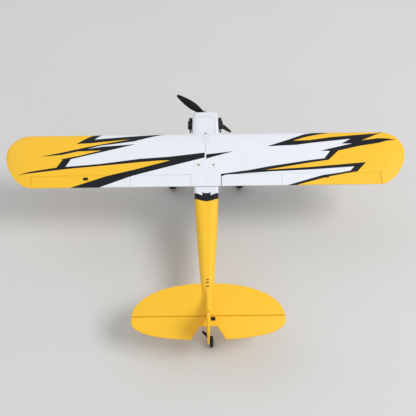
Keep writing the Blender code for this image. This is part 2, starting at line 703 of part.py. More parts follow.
def hatch(build):
    """The nose deck's hatch, which tips up about its front edge."""
    half = HATCH_HALF - 0.0006
    pivot = (0.0, HATCH_FRONT + 0.0006, 0.0442)
    tops = ((HATCH_FRONT - 0.0006, 0.0428), (0.1175, 0.0440), (0.0850, 0.0460), (HATCH_REAR + 0.0012, 0.0480))
    rings = []
    for y, top in tops:
        profile = [(-half, top - 0.006), (-half, top - 0.0012), (-0.020, top - 0.0002), (0.020, top - 0.0002)]
        profile += [(half, top - 0.0012), (half, top - 0.006)]
        rings.append([(x, y, z) for x, z in profile])
    lid = build.add("hatch", loft("hatch", rings), "white_foam", pivot)
    finger = tube(
        "finger_notch", [(0, HATCH_REAR + 0.0045, 0.0445), (0, HATCH_REAR + 0.0045, 0.06)], 0.0055, 14
    )
    build.cut(lid, build.helper(finger))


def cowl_ring(y, shrink_x, shrink_z):
    """A closed ring round the cowl, rounded like the fuselage's front station."""
    half_width, bottom, top, corner = 0.0450, -0.0600, 0.0425, 0.011
    middle = (bottom + top) / 2
    right = half_section(half_width, bottom, top, corner, 0.0)
    ring = [(x, z) for x, z in right[1:-1]]
    ring += [(-x, z) for x, z in reversed(ring)]
    return [(x * shrink_x, y, middle + (z - middle) * shrink_z) for x, z in ring]


def nose_cowl(build):
    """The moulded plastic nose bowl: a thin shell whose lip turns in round the air inlet."""
    outer = [
        cowl_ring(COWL_REAR, 1.0, 1.0),
        cowl_ring(0.152, 0.992, 0.988),
        cowl_ring(0.160, 0.975, 0.962),
        cowl_ring(0.165, 0.957, 0.930),
        cowl_ring(0.1675, 0.938, 0.895),
        cowl_ring(COWL_FRONT, 0.905, 0.840),
        cowl_ring(COWL_FRONT - 0.0006, 0.620, 0.500),
    ]
    inner = [
        cowl_ring(COWL_FRONT - 0.0024, 0.620, 0.500),
        cowl_ring(COWL_FRONT - 0.0026, 0.882, 0.812),
        cowl_ring(0.1630, 0.918, 0.886),
        cowl_ring(0.1580, 0.934, 0.922),
        cowl_ring(0.152, 0.948, 0.944),
        cowl_ring(COWL_REAR, 0.955, 0.955),
    ]
    build.add("nose_cowl", loft("nose_cowl", outer + inner, ends_meet=True), "white_plastic", smooth=35)


def dummy_cylinder(name, x, y, z, side):
    """One finned cylinder with its rocker cover, lying across the nose."""
    fins = [(0, 0.0), (0.0096, 0.0)]
    for k in range(3):
        foot = 0.0015 + 0.0035 * k
        fins += [(0.0096, foot), (0.0076, foot + 0.0002), (0.0076, foot + 0.0016), (0.0096, foot + 0.0018)]
    fins += [(0.0096, 0.0125), (0.0066, 0.0135), (0.0066, 0.0150), (0, 0.0150)]
    return turned(name, fins, (side * x, y, z), (side, 0, 0), 12)


def engine_sides(build):
    """On each side of the nose, a moulded pair of dummy cylinders on a base plate."""
    for side, name in ((-1, "left"), (1, "right")):
        plate_x = sorted((side * 0.0466, side * 0.0498))
        plate = box("plate", (plate_x[0], 0.1150, -0.018), (plate_x[1], 0.1550, 0.022))
        block = build.add(f"cylinders_{name}", plate, "black_plastic")
        cylinders = [
            dummy_cylinder(
                f"cylinder_{name}_{k}", 0.0482, y, 0.004, side
            ) for k, y in enumerate((0.1252, 0.1450))
        ]
        brow_x = sorted((side * 0.0484, side * 0.0590))
        brow = box(f"brow_{name}", (brow_x[0], 0.1150, 0.0195), (brow_x[1], 0.1550, 0.0215))
        build.join(block, *cylinders, brow)


# ---- motor and propeller -------------------------------------------------------------------------


def power_train(build):
    """Firewall, stator, rotor bell, propeller adapter and propeller."""
    wall_y = (0.1105, 0.1135)
    firewall = prism(
        "firewall",
        [
            (0.036, -0.048), (0.036, 0.030), (0.026, 0.0345), (-0.026, 0.0345), (-0.036, 0.030),
            (-0.036, -0.048)
        ],
        "Y",
        *wall_y,
    )
    build.add("firewall", firewall, "plywood")

    base = wall_y[1] + GAP
    stator = turned(
        "motor_stator",
        [
            (0, base), (0.016, base), (0.016, base + 0.003), (0.0125, base + 0.0045), (0.0125, base + 0.030),
            (0, base + 0.030)
        ],
        (0, 0, 0),
        (0, 1, 0),
        20,
    )
    build.add("motor_stator", stator, "steel", smooth=30)
    bell_rear, bell_front = base + 0.0055, base + 0.036
    bell = turned(
        "motor_bell",
        [
            (0.0145, bell_rear), (0.0170, bell_rear), (0.0175, bell_rear + 0.003),
            (0.0175, bell_front - 0.004), (0.014, bell_front)
        ]
        + [(0.0035, bell_front), (0.0035, bell_front - 0.003), (0.0145, bell_front - 0.0045)],
        (0, 0, 0),
        (0, 1, 0),
        24,
    )
    pivot = (0.0, PROP_Y, 0.0)
    build.add("motor_bell", bell, "black_plastic", pivot, smooth=30)

    hub_rear, hub_front = PROP_Y - 0.0045, PROP_Y + 0.0045
    adapter = turned(
        "prop_adapter",
        [
            (0, bell_front - 0.004), (0.0030, bell_front - 0.004), (0.0030, bell_front + 0.001),
            (0.006, bell_front + 0.003)
        ]
        + [
            (0.006, hub_rear - 0.004), (0.009, hub_rear - 0.003), (0.009, hub_rear - GAP),
            (0.0035, hub_rear - GAP)
        ]
        + [
            (0.0035, hub_front + GAP), (0.0068, hub_front + GAP), (0.0068, hub_front + 0.007),
            (0.0040, NUT_TIP - 0.0015), (0, NUT_TIP)
        ],
        (0, 0, 0),
        (0, 1, 0),
        18,
    )
    build.add("prop_adapter", adapter, "steel", pivot, smooth=30)
    propeller(build, pivot, hub_rear, hub_front)


def blade_rings(direction, across):
    """Twisted blade sections from the hub outwards. Its leading edge is on the across side."""
    axis = Vector((0, 1, 0))
    shape = (
        (0.0, 0.014, 0.34),
        (0.16, 0.0185, 0.21),
        (0.38, 0.0290, 0.12),
        (0.62, 0.0275, 0.09),
        (0.85, 0.0190, 0.08),
        (0.97, 0.0110, 0.08),
        (1.0, 0.0045, 0.10),
    )
    rings = []
    for share, chord, thick in shape:
        radius = 0.006 + share * (PROP_RADIUS - 0.006)
        pitch = min(math.atan(PROP_PITCH / (math.tau * max(radius, 0.018))), math.radians(36))
        forward = across * math.cos(pitch) + axis * math.sin(pitch)
        up = axis * math.cos(pitch) - across * math.sin(pitch)
        centre = Vector((0, PROP_Y, 0)) + direction * radius
        ring = []
        for k in range(10):
            angle = math.tau * k / 10
            ring.append(
                centre + forward * (0.5 * chord * math.cos(angle)) + up * (
                    0.5 * thick * chord * math.sin(angle)
                )
            )
        rings.append(ring)
    return rings


def propeller(build, pivot, hub_rear, hub_front):
    """A two-bladed moulded propeller, its left blade up."""
    bore = 0.0035 + GAP
    hub = turned(
        "propeller", [
            (bore, hub_rear), (0.0095, hub_rear), (0.0095, hub_front), (bore, hub_front)
        ], (0, 0, 0), (0, 1, 0), 20
    )
    prop = build.add("propeller", hub, "black_plastic", pivot, smooth=30)
    angle = math.radians(PROP_REST_ANGLE)
    first = Vector((-math.cos(angle), 0, math.sin(angle)))
    blades = []
    for k, direction in enumerate((first, -first)):
        across = Vector((direction.z, 0, -direction.x))
        blades.append(loft(f"blade_{k}", blade_rings(direction, across)))
    build.join(prop, *blades)
    drill = tube("prop_bore", [(0, hub_rear - 0.02, 0), (0, hub_front + 0.02, 0)], bore, 20)
    build.cut(prop, build.helper(drill))


# ---- equipment -----------------------------------------------------------------------------------


def equipment(build):
    """What the fuselage carries inside: tray, battery, speed controller and receiver."""
    floor = -0.0528
    tray = build.add(
        "equipment_tray", box("tray", (-0.022, -0.172, floor - 0.0025), (0.022, 0.100, floor)), "plywood"
    )
    servo_y, servo_z = ELEVATOR_SERVO
    post = box(
        "servo_post", (-0.0095, servo_y - 0.0145, floor - 0.001),
        (0.0065, servo_y + 0.0045, servo_z - 0.006 - GAP)
    )
    battens = [(0.086, 0.094, -0.0581), (-0.024, -0.016, -0.0594)]
    battens = [
        box(f"batten_{k}", (-0.021, rear, low), (0.021, front, floor - 0.001)) for k,
        (rear, front, low) in enumerate(battens)
    ]
    build.join(tray, post, *battens)
    rest = floor + GAP
    build.add(
        "battery_pack", box("battery", (-0.0175, 0.022, rest), (0.0175, 0.096, rest + 0.025)), "battery_wrap"
    )
    build.add(
        "speed_controller", box("controller", (-0.0125, -0.040, rest), (0.0125, 0.008, rest + 0.009)),
        "black_plastic"
    )
    build.add(
        "receiver", box("receiver", (-0.012, -0.092, rest), (0.012, -0.050, rest + 0.013)), "black_plastic"
    )


# ---- struts and landing gear ---------------------------------------------------------------------


def strut_leg(name, foot, head, side):
    """A streamlined strut leg, its section longest along the airflow."""
    rings = []
    for x, y, z in (foot, head):
        ring = [
            (side * x, y + 0.0062 * math.cos(math.tau * k / 10), z + 0.0026 * math.sin(math.tau * k / 10))
            for k in range(10)
        ]
        rings.append(ring)
    return loft(name, rings)


def wing_struts(build):
    """A V of two legs each side, from the fuselage's lower edge to the wing."""
    for side, name in ((-1, "left"), (1, "right")):
        foot = (0.0500, 0.006, -0.0480)
        front_top, rear_top = (0.330, -0.022, 0.0895), (0.330, -0.130, 0.0880)
        front = strut_leg("front_leg", foot, front_top, side)
        strut = build.add(f"wing_strut_{name}", front, "white_plastic", smooth=40)
        rear = strut_leg(f"rear_leg_{name}", (0.0500, 0.001, -0.0480), rear_top, side)
        lug_x = sorted((side * 0.0468, side * 0.0540))
        lug = box(f"strut_lug_{name}", (lug_x[0], -0.008, -0.053), (lug_x[1], 0.014, -0.043))
        heads = []
        for k, top in enumerate((front_top, rear_top)):
            head_x = sorted((side * (top[0] - 0.012), side * (top[0] + 0.006)))
            ceiling = min(wing_height(top[1] - 0.009, False), wing_height(top[1] + 0.009, False)) - 0.0008
            heads.append(
                box(
                    f"strut_head_{name}_{k}", (head_x[0], top[1] - 0.009, ceiling - 0.0075),
                    (head_x[1], top[1] + 0.009, ceiling)
                )
            )
        build.join(strut, rear, lug, *heads)


def landing_gear(build):
    """Two-legged wire gear with a shock strut each side, its axle and a fairing between the legs."""
    plate_top = -0.0668
    for side, name in ((-1, "left"), (1, "right")):
        front_root, rear_root = Vector((0.034, 0.046, plate_top - 0.002)), Vector(
            (0.034, -0.028, plate_top - 0.002)
        )
        end = Vector((0.106, AXLE_Y, AXLE_Z + 0.004))

        def flip(point):
            return (side * point[0], point[1], point[2])

        legs = tube("gear_front_leg", [flip(front_root), flip(end)], 0.0024, 10)
        gear = build.add(f"landing_gear_{name}", legs, "steel", smooth=40)
        plate_x = sorted((side * 0.024, side * 0.0385))
        extras = [
            tube(f"gear_rear_leg_{name}", [flip(rear_root), flip(end)], 0.0024, 10),
            tube(f"shock_strut_{name}", [flip((0.028, 0.010, plate_top - 0.002)), flip(end)], 0.0016, 8),
            tube(
                f"shock_spring_{name}", [flip((0.052, 0.0137, -0.0980)), flip((0.082, 0.0183, -0.1352))],
                0.0048, 12
            ),
            box(
                f"gear_plate_{name}", (plate_x[0], -0.036, plate_top - 0.003), (plate_x[1], 0.054, plate_top)
            ),
            turned(
                f"axle_{name}",
                [
                    (0, 0.100), (0.0040, 0.100), (0.0040, 0.1105), (AXLE_RADIUS, 0.1112),
                    (AXLE_RADIUS, 0.1425), (0.0040, 0.1430)
                ]
                + [(0.0040, 0.1465), (0, 0.1465)],
                (0, AXLE_Y, AXLE_Z),
                (side, 0, 0),
                16,
            ),
        ]
        build.join(gear, *extras)
        gear_fairing(build, name, flip, front_root, rear_root, end)


def gear_fairing(build, name, flip, front_root, rear_root, end):
    """A flat triangular panel that fills the space between the two legs."""
    clear = 0.0034
    down = (end - (front_root + rear_root) / 2).normalized()
    normal = down.cross(Vector((0, 1, 0))).normalized()
    down = Vector((0, 1, 0)).cross(normal).normalized()
    down = -down if down.z > 0 else down
    corners = [front_root + down * 0.006, rear_root + down * 0.006, end - down * 0.016]
    flat = [((p - front_root).dot(Vector((0, 1, 0))), (p - front_root).dot(down)) for p in corners]
    flat = inset(flat, clear)
    rings = []
    for offset in (-0.0011, 0.0011):
        rings.append(
            [
                flip(front_root + Vector((0, 1, 0)) * a + down * b + normal * (offset + 0.0052)) for a,
                b in flat
            ]
        )
    build.add(f"gear_fairing_{name}", loft("gear_fairing", rings), "yellow_foam")


def wheels(build):
    """Two large soft tyres on plastic hubs."""
    for side, name in ((-1, "left"), (1, "right")):
        centre = (side * WHEEL_X, AXLE_Y, AXLE_Z)
        inner, half = HUB_RADIUS + GAP, WHEEL_HALF_WIDTH
        tyre = [(inner, -0.0085), (0.0260, -0.0125), (0.0320, -half), (0.0385, -0.0125), (0.0420, -0.0080)]
        tyre.append((WHEEL_RADIUS, 0.0))
        tyre += [(r, -h) for r, h in reversed(tyre[:-1])]
        build.add(
            f"wheel_tyre_{name}", turned("tyre", tyre, centre, (1, 0, 0), 28), "rubber", centre, smooth=40
        )
        bore = AXLE_RADIUS + GAP
        hub = [
            (bore, -0.0130), (0.0060, -0.0130), (0.0060, -0.0070), (0.0165, -0.0060), (0.0185, -0.0095),
            (HUB_RADIUS, -0.0095)
        ]
        hub += [(r, -h) for r, h in reversed(hub)]
        build.add(
            f"wheel_hub_{name}", turned("hub", hub, centre, (1, 0, 0), 20), "white_plastic", centre, smooth=30
        )


# ---- tail ----------------------------------------------------------------------------------------


def arc_points(start, stop, count, place):
    """Points of place(angle) for evenly spaced angles in degrees, ends included."""
    return [place(math.radians(start + (stop - start) * k / (count - 1))) for k in range(count)]


def stabilizer(build):
    """The fixed tailplane: a full, nearly half-elliptic outline ahead of the elevator hinge."""
    depth = STAB_LE - TAIL_WIDEST_Y
    power = 2.0 / 2.2
    limit = math.degrees(math.asin(((ELEVATOR_HINGE_Y - TAIL_WIDEST_Y) / depth) ** (1 / power)))

    def curve(a):
        across = math.copysign(abs(math.cos(a)) ** power, math.cos(a))
        return STAB_HALF * across, TAIL_WIDEST_Y + depth * math.sin(a) ** power

    outline = arc_points(limit, 180 - limit, 23, curve)
    edges = [0.0022] * len(outline)
    edges[0] = edges[-1] = 0.0003
    mesh = slab("stabilizer", outline, STAB_HALF_THICK, edges, lambda a, b, t: (a, b, STAB_Z + t))
    build.add("stabilizer", mesh, "yellow_foam")


def elevator_outline():
    """One piece: two halves behind the hinge, a bridge under the fin and a notch for the rudder."""
    depth = TAIL_WIDEST_Y - ELEVATOR_TE
    hinge = ELEVATOR_HINGE_Y - GAP
    right = [(HINGE_END_X, hinge), (STAB_HALF - 0.0012, hinge - 0.0015)]
    power = 2.0 / 2.45
    right += arc_points(
        0, 77, 9, lambda a: (STAB_HALF * math.cos(a) ** power, TAIL_WIDEST_Y - depth * math.sin(a) ** power)
    )
    right += [(NOTCH_OUT, ELEVATOR_TE), (NOTCH_IN, BRIDGE_TE)]
    left = [(-x, y) for x, y in reversed(right)]
    return right + left


def elevator(build):
    """The elevator, bevelled above and below its hinge."""
    outline = elevator_outline()
    edges = [0.0022] * len(outline)
    edges[0] = edges[-1] = 0.0026
    pivot = (0.0, ELEVATOR_HINGE_Y, STAB_Z)
    mesh = slab("elevator", outline, STAB_HALF_THICK, edges, lambda a, b, t: (a, b, STAB_Z + t))
    piece = build.add("elevator", mesh, "yellow_foam", pivot)
    x = ELEVATOR_LINK_X
    slot = box(
        "elevator_horn_slot", (x - 0.0029, pivot[1] - 0.0124, 0.0), (x + 0.0029, pivot[1] - 0.0076, 0.06)
    )
    build.cut(piece, build.helper(slot))


def fin(build):
    """The fin on the rear deck, its foot cut away over the elevator's bridge."""
    rear = RUDDER_HINGE_Y + 0.0021
    outline = [(rear, 0.0530), (ELEVATOR_HINGE_Y + 0.0026, 0.0410), (-0.575, 0.0424), (-0.512, 0.0450)]
    base_y, base_z = -0.512, 0.0450
    outline += arc_points(
        0, 90, 9,
        lambda a: (
            base_y + (rear - base_y) * math.sin(a) ** 1.15,
            base_z + (FIN_TOP - base_z) * (1 - math.cos(a) ** 1.1)
        )
    )[1:]
    edges = [0.0022] * len(outline)
    mesh = slab("fin", outline, FIN_HALF_THICK, edges, lambda a, b, t: (t, a, b))
    build.add("fin", mesh, "yellow_foam")


def rudder_taper(y):
    """The rudder thins towards its trailing edge."""
    front = RUDDER_HINGE_Y - GAP
    return 1 - 0.6 * (front - y) / (front - RUDDER_TE)


def rudder(build):
    """The rudder, bevelled both sides of its hinge."""
    front = RUDDER_HINGE_Y - GAP
    outline = [(front, RUDDER_BOTTOM), (front, FIN_TOP)]
    outline += [(-0.656, 0.1475), (-0.671, 0.1370), (-0.682, 0.1180), (-0.6868, 0.0950), (RUDDER_TE, 0.0700)]
    outline += [(-0.6872, 0.0450), (-0.6835, 0.0180), (-0.6770, -0.0080), (-0.6720, RUDDER_BOTTOM)]
    edges = [0.0026] * 2 + [0.0028] * (len(outline) - 2)
    pivot = (0.0, RUDDER_HINGE_Y, 0.0)
    mesh = slab("rudder", outline, FIN_HALF_THICK, edges, lambda a, b, t: (t * rudder_taper(a), a, b))
    build.add("rudder", mesh, "yellow_foam", pivot)


def tail_wheel(build):
    """Bracket under the tail, sprung wire that steers with the rudder, and the wheel."""
    y = RUDDER_HINGE_Y
    shelf = -0.0178
    bracket = build.add(
        "tailwheel_bracket", box("bracket", (-0.005, y + 0.0035, shelf - 0.002), (0.005, -0.596, shelf)),
        "black_plastic"
    )
    bearing = turned(
        "bearing", [
            (0.0017, -0.0245), (0.0042, -0.0245), (0.0042, shelf - 0.0005), (0.0017, shelf - 0.0005)
        ], (0, y, 0), (0, 0, 1), 14
    )
    build.join(bracket, bearing)
    axle = (TAIL_AXLE_Y, TAIL_AXLE_Z)
    top = RUDDER_BOTTOM - 0.0017
    path = [(0, y - 0.024, top), (0, y, top), (0, y, -0.062), (0, *axle), (TAIL_WHEEL_X + 0.0085, *axle)]
    fork = build.add("tailwheel_fork", tube("fork", path, 0.0011, 8), "steel", (0, y, 0), smooth=50)
    end = TAIL_WHEEL_X + 0.0060
    build.join(
        fork,
        turned(
            "collar", [(0, end), (0.0028, end), (0.0028, end + 0.0024), (0, end + 0.0024)], (0, *axle),
            (1, 0, 0), 12
        )
    )
    centre = (TAIL_WHEEL_X, *axle)
    radius = TAIL_WHEEL_RADIUS
    wheel = [(0.0016, -0.0050), (0.0110, -0.0042), (0.0140, -0.0056), (0.0164, -0.0038), (radius, 0.0)]
    wheel += [(r, -h) for r, h in reversed(wheel[:-1])]
    build.add("tailwheel", turned("tailwheel", wheel, centre, (1, 0, 0), 20), "rubber", centre, smooth=40)


# ---- the whole aeroplane -------------------------------------------------------------------------


def main():
    for obj in list(bpy.data.objects):
        bpy.data.objects.remove(obj)
    build = Builder()
    fuselage(build)
    hatch(build)
    glazing(build)
    nose_cowl(build)
    engine_sides(build)
    power_train(build)
    equipment(build)
    wing_panels(build)
    flaps_and_ailerons(build)
    aileron_linkages(build)
    elevator_linkage(build)
    rudder_linkage(build)
    wing_struts(build)
    landing_gear(build)
    wheels(build)
    stabilizer(build)
    elevator(build)
    fin(build)
    rudder(build)
    tail_wheel(build)


main()
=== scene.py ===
"""Visual model of a high-wing foam model aeroplane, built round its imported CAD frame.

Shapes are made in the airframe's own axes (+X right wing, +Y nose, +Z up, z = 0 on the propeller
shaft, metres), then placed by the matrix that the propeller's joint gives.
"""

import json
import math

import bmesh
import bpy
from mathutils import Matrix, Vector
from mathutils.geometry import delaunay_2d_cdt


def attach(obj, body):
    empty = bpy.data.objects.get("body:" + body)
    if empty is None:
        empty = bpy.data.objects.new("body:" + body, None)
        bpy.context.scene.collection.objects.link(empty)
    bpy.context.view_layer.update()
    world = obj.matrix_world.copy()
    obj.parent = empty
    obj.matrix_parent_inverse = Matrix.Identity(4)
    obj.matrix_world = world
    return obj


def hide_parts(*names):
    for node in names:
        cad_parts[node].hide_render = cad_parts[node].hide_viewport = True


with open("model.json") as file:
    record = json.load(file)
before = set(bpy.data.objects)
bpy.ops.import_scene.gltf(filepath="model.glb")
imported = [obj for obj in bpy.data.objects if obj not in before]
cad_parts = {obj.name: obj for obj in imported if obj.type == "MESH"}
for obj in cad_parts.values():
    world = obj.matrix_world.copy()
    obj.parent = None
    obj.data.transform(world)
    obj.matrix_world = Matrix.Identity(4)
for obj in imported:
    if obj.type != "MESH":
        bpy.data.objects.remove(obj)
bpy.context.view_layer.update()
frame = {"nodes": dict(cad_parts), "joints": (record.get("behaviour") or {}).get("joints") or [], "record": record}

# ---- the airframe's dimensions, as in the CAD model ----------------------------------------------

SPAN, CHORD = 1.309, 0.2055
WING_LE = 0.008
WING_TE = WING_LE - CHORD
WING_FLAT = 0.0935
WING_ROOT = 0.0001
TIP_WIDEST_Y = -0.069
HINGE_Y = -0.158
FLAP_IN, AILERON_IN, AILERON_OUT = 0.0483, 0.2415, 0.559
BAY_GAP, GAP = 0.0008, 0.0004
GROOVE_DEPTH, GROOVE_HALF = 0.0008, 0.0012
BOLT_X, BOLT_Y = 0.024, -0.125
HORN_X = 0.384
STAB_HALF, STAB_Z, STAB_THICK = 0.2215, 0.03, 0.004
STAB_LE, TAIL_WIDEST_Y, ELEVATOR_TE = -0.504, -0.615, -0.6755
ELEVATOR_HINGE_Y, HINGE_END_X, BRIDGE_TE = -0.606, 0.208, -0.6365
NOTCH_IN, NOTCH_OUT = 0.0255, 0.049
ELEVATOR_LINK_X = 0.014
RUDDER_HINGE_Y, FIN_THICK = -0.6405, 0.0048
RUDDER_BOTTOM, FIN_TOP, RUDDER_TE = -0.014, 0.15, -0.688
COWL_FRONT, COWL_REAR = 0.1685, 0.146
PROP_Y, PROP_RADIUS, PROP_PITCH, PROP_ANGLE = 0.19, 0.143, 0.152, 46.0
AXLE_Y, AXLE_Z, WHEEL_X = 0.022, -0.165, 0.127
HUB_RADIUS, AXLE_RADIUS = 0.021, 0.0018
TAIL_AXLE_Y, TAIL_AXLE_Z, TAIL_WHEEL_RADIUS, TAIL_WHEEL_X = -0.642, -0.088, 0.0175, 0.009
HATCH_FRONT, HATCH_REAR, HATCH_HALF, DECK_CORNER = 0.14, 0.0462, 0.0345, 0.01
MAGNET_Y = HATCH_REAR + 0.0125
WALL = 0.0065
SIDES = ((-1, "left"), (1, "right"))
UP, FORWARD = (0, 0, 1), (0, 1, 0)

joints = {joint["name"]: joint for joint in frame["joints"]}
shaft = joints["propeller_spin"]
nose = Vector(shaft["axis"])
AIRFRAME = (
    Matrix.Translation(shaft["pos_m"])
    @ Matrix.Rotation(math.atan2(nose.z, nose.y), 4, "X")
    @ Matrix.Translation((0.0, -PROP_Y, 0.0))
)

# ---- materials -----------------------------------------------------------------------------------


def srgb(red, green, blue):
    """Linear colour from 8-bit display values."""
    return tuple(
        ((c / 255 + 0.055) / 1.055) ** 2.4 if c > 10 else c / 255 / 12.92 for c in (red, green, blue)
    )


MIX_A, MIX_B, MIX_RESULT = 6, 7, 2  # the mix node's colour sockets


class Look:
    """A node-based material: base colour varied by noise, plus layers of relief."""

    def __init__(self, name, colour, roughness, metallic=0.0, spread=0.04, scale=30.0, rough_spread=0.08):
        self.material = bpy.data.materials.new(name)
        self.material.use_nodes = True
        self.tree = self.material.node_tree
        self.shader = self.tree.nodes["Principled BSDF"]
        self.place = self.node("TexCoord").outputs["Object"]
        self.height = None
        ramp = self.node("ValToRGB", Fac=self.noise(scale, 4.0))
        for stop, position, share in zip(ramp.color_ramp.elements, (0.3, 0.7), (1 - spread, 1 + spread)):
            stop.position = position
            stop.color = (*(min(c * share, 1.0) for c in colour), 1)
        self.colour = ramp.outputs["Color"]
        rough = self.node(
            "MapRange", Value=self.noise(scale * 5, 2.0), To_Min=max(roughness - rough_spread, 0.02),
            To_Max=min(roughness + rough_spread, 1.0)
        )
        self.feed(self.shader, Metallic=metallic, Base_Color=self.colour, Roughness=rough.outputs["Result"])

    def feed(self, node, **inputs):
        """Gives each input a value or the socket that drives it. _ stands for a space in its name."""
        for name, value in inputs.items():
            socket = node.inputs[name.replace("_", " ")]
            if isinstance(value, bpy.types.NodeSocket):
                self.tree.links.new(value, socket)
            else:
                socket.default_value = value
        return node

    def node(self, kind, **inputs):
        return self.feed(self.tree.nodes.new("ShaderNode" + kind), **inputs)

    def noise(self, scale, detail=2.0, stretch=None):
        place = self.place
        if stretch:
            place = self.node("Mapping", Vector=place, Scale=stretch).outputs["Vector"]
        return self.node("TexNoise", Vector=place, Scale=scale, Detail=detail).outputs["Fac"]

    def cells(self, scale, feature="SMOOTH_F1"):
        node = self.node("TexVoronoi", Vector=self.place, Scale=scale)
        node.feature = feature
        return node.outputs["Distance"]

    def relief(self, height, distance, strength=1.0):
        """Adds one more bump layer on top of those before it."""
        bump = self.node("Bump", Height=height, Distance=distance, Strength=strength)
        if self.height is not None:
            self.feed(bump, Normal=self.height)
        self.height = bump.outputs["Normal"]
        self.feed(self.shader, Normal=self.height)
        return self

    def tint(self, factor, dark, low, high):
        """Multiplies the colour towards dark where factor lies between low and high."""
        share = self.node("MapRange", Value=factor, From_Min=low, From_Max=high, To_Min=dark, To_Max=1.0)
        mix = self.node("Mix")
        mix.data_type, mix.blend_type = "RGBA", "MULTIPLY"
        self.feed(mix, Factor=1.0)
        self.tree.links.new(self.colour, mix.inputs[MIX_A])
        self.tree.links.new(share.outputs["Result"], mix.inputs[MIX_B])
        self.colour = mix.outputs[MIX_RESULT]
        self.feed(self.shader, Base_Color=self.colour)
        return self


def foam(name, colour, rough=0.5, specular=0.5):
    """Moulded bead foam: fine rounded cells a few millimetres wide, hardly raised."""
    look = Look(name, colour, rough, spread=0.012, scale=14.0, rough_spread=0.05)
    look.feed(look.shader, Specular_IOR_Level=specular)
    look.tint(look.cells(330.0, "DISTANCE_TO_EDGE"), 0.965, 0.0, 0.08)
    look.relief(look.cells(330.0), 0.0001, 0.5).relief(look.noise(900.0, 3.0), 0.00004, 0.5)
    return look.relief(look.noise(9.0, 2.0), 0.0012, 0.35).material


def plastic(name, colour, roughness=0.35, specular=0.5):
    look = Look(name, colour, roughness, spread=0.05, scale=60.0)
    look.feed(look.shader, Specular_IOR_Level=specular)
    return look.relief(look.noise(700.0, 2.0), 0.00003, 0.5).material


def metal(name, colour, roughness=0.28):
    look = Look(name, colour, roughness, metallic=1.0, spread=0.1, scale=90.0, rough_spread=0.1)
    return look.relief(look.noise(260.0, 3.0, (1.0, 1.0, 14.0)), 0.00002, 0.6).material


def rubber(name, colour):
    look = Look(name, colour, 0.72, spread=0.2, scale=45.0)
    return look.relief(look.noise(420.0, 4.0), 0.00008, 0.6).material


def wood(name, colour):
    look = Look(name, colour, 0.65, spread=0.16, scale=12.0)
    grain = look.noise(34.0, 5.0, (9.0, 0.7, 9.0))
    return look.tint(grain, 0.72, 0.35, 0.62).relief(grain, 0.0001, 0.5).material


def carbon(name):
    look = Look(name, (0.022, 0.022, 0.024), 0.3, spread=0.1, scale=200.0)
    wave = look.node("TexWave", Vector=look.place, Scale=120.0, Distortion=0.4)
    wave.bands_direction = "DIAGONAL"
    look.feed(look.shader, Coat_Weight=0.6)
    return look.tint(wave.outputs["Fac"], 0.5, 0.2, 0.8).relief(wave.outputs["Fac"], 0.00003, 0.5).material


def clear(name):
    look = Look(name, (0.55, 0.6, 0.63), 0.06, spread=0.03, scale=20.0, rough_spread=0.02)
    look.feed(look.shader, Transmission_Weight=0.85, IOR=1.3)
    return look.relief(look.noise(14.0, 1.0), 0.0003, 0.3).material


WHITE, YELLOW, BLACK = srgb(233, 236, 242), srgb(253, 196, 34), srgb(20, 22, 26)
LOOKS = {
    "white_foam": foam("white_foam_skin", WHITE),
    "yellow_foam": foam("yellow_foam_skin", YELLOW),
    "black_film": foam("black_film", BLACK, 0.48, 0.25),
    "raw_foam": foam("raw_foam", srgb(214, 216, 220), 0.75),
    "joint": foam("joint_line", srgb(168, 168, 172), 0.75),
    "black_plastic": plastic("black_nylon", srgb(20, 21, 22), 0.44, specular=0.3),
    "grey_plastic": plastic("grey_plastic", srgb(36, 35, 42), 0.42, specular=0.35),
    "white_plastic": plastic("white_moulding", srgb(232, 235, 241), 0.3),
    "clear_plastic": clear("smoked_sheet"),
    "rubber": rubber("tyre_rubber", srgb(32, 32, 33)),
    "steel": metal("plated_steel", srgb(190, 192, 196)),
    "dark_steel": metal("blackened_wire", srgb(48, 48, 50), 0.4),
    "bright": metal("bright_alloy", srgb(225, 226, 230), 0.22),
    "brass": metal("satin_brass", srgb(226, 204, 160), 0.4),
    "carbon": carbon("carbon_tube"),
    "plywood": wood("light_ply", srgb(196, 160, 112)),
    "servo_blue": plastic("servo_case", srgb(24, 58, 132), 0.22),
    "battery_wrap": plastic("battery_sleeve", srgb(38, 66, 98), 0.3),
    "tape": plastic("clear_tape", srgb(228, 228, 238), 0.25),
    "magnet": metal("nickel_disc", srgb(215, 216, 212), 0.5),
}

# ---- mesh tools ----------------------------------------------------------------------------------


def into_scene(name, data):
    thing = bpy.data.objects.new(name, data)
    bpy.context.scene.collection.objects.link(thing)
    return thing


def mesh_from(bm, name):
    mesh = bpy.data.meshes.new(name)
    bm.to_mesh(mesh)
    bm.free()
    return mesh


def bare_mesh(bm, name):
    """A clean mesh of one body, its faces turned outwards."""
    bmesh.ops.remove_doubles(bm, verts=bm.verts, dist=2e-6)
    bmesh.ops.dissolve_degenerate(bm, edges=bm.edges, dist=1e-7)
    face_out(bm)
    return mesh_from(bm, name)


def face_out(bm):
    bmesh.ops.recalc_face_normals(bm, faces=bm.faces)
    if bm.calc_volume(signed=True) < 0.0:
        bmesh.ops.reverse_faces(bm, faces=bm.faces)


def add(name, mesh, body, looks, nodes=(), smooth=40.0, bevel=0.0):
    """Makes a piece of the visual model that rides on a CAD body and stands for CAD nodes."""
    mesh.transform(AIRFRAME)
    mesh.shade_smooth()
    mesh.set_sharp_from_angle(angle=math.radians(smooth))
    piece = into_scene(name, mesh)
    for look in looks:
        mesh.materials.append(LOOKS[look])
    if bevel:
        modifier = piece.modifiers.new("edges", "BEVEL")
        modifier.width, modifier.segments = bevel, 2
        modifier.limit_method, modifier.angle_limit = "ANGLE", math.radians(35)
    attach(piece, body)
    if nodes:
        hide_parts(*nodes)
    return piece


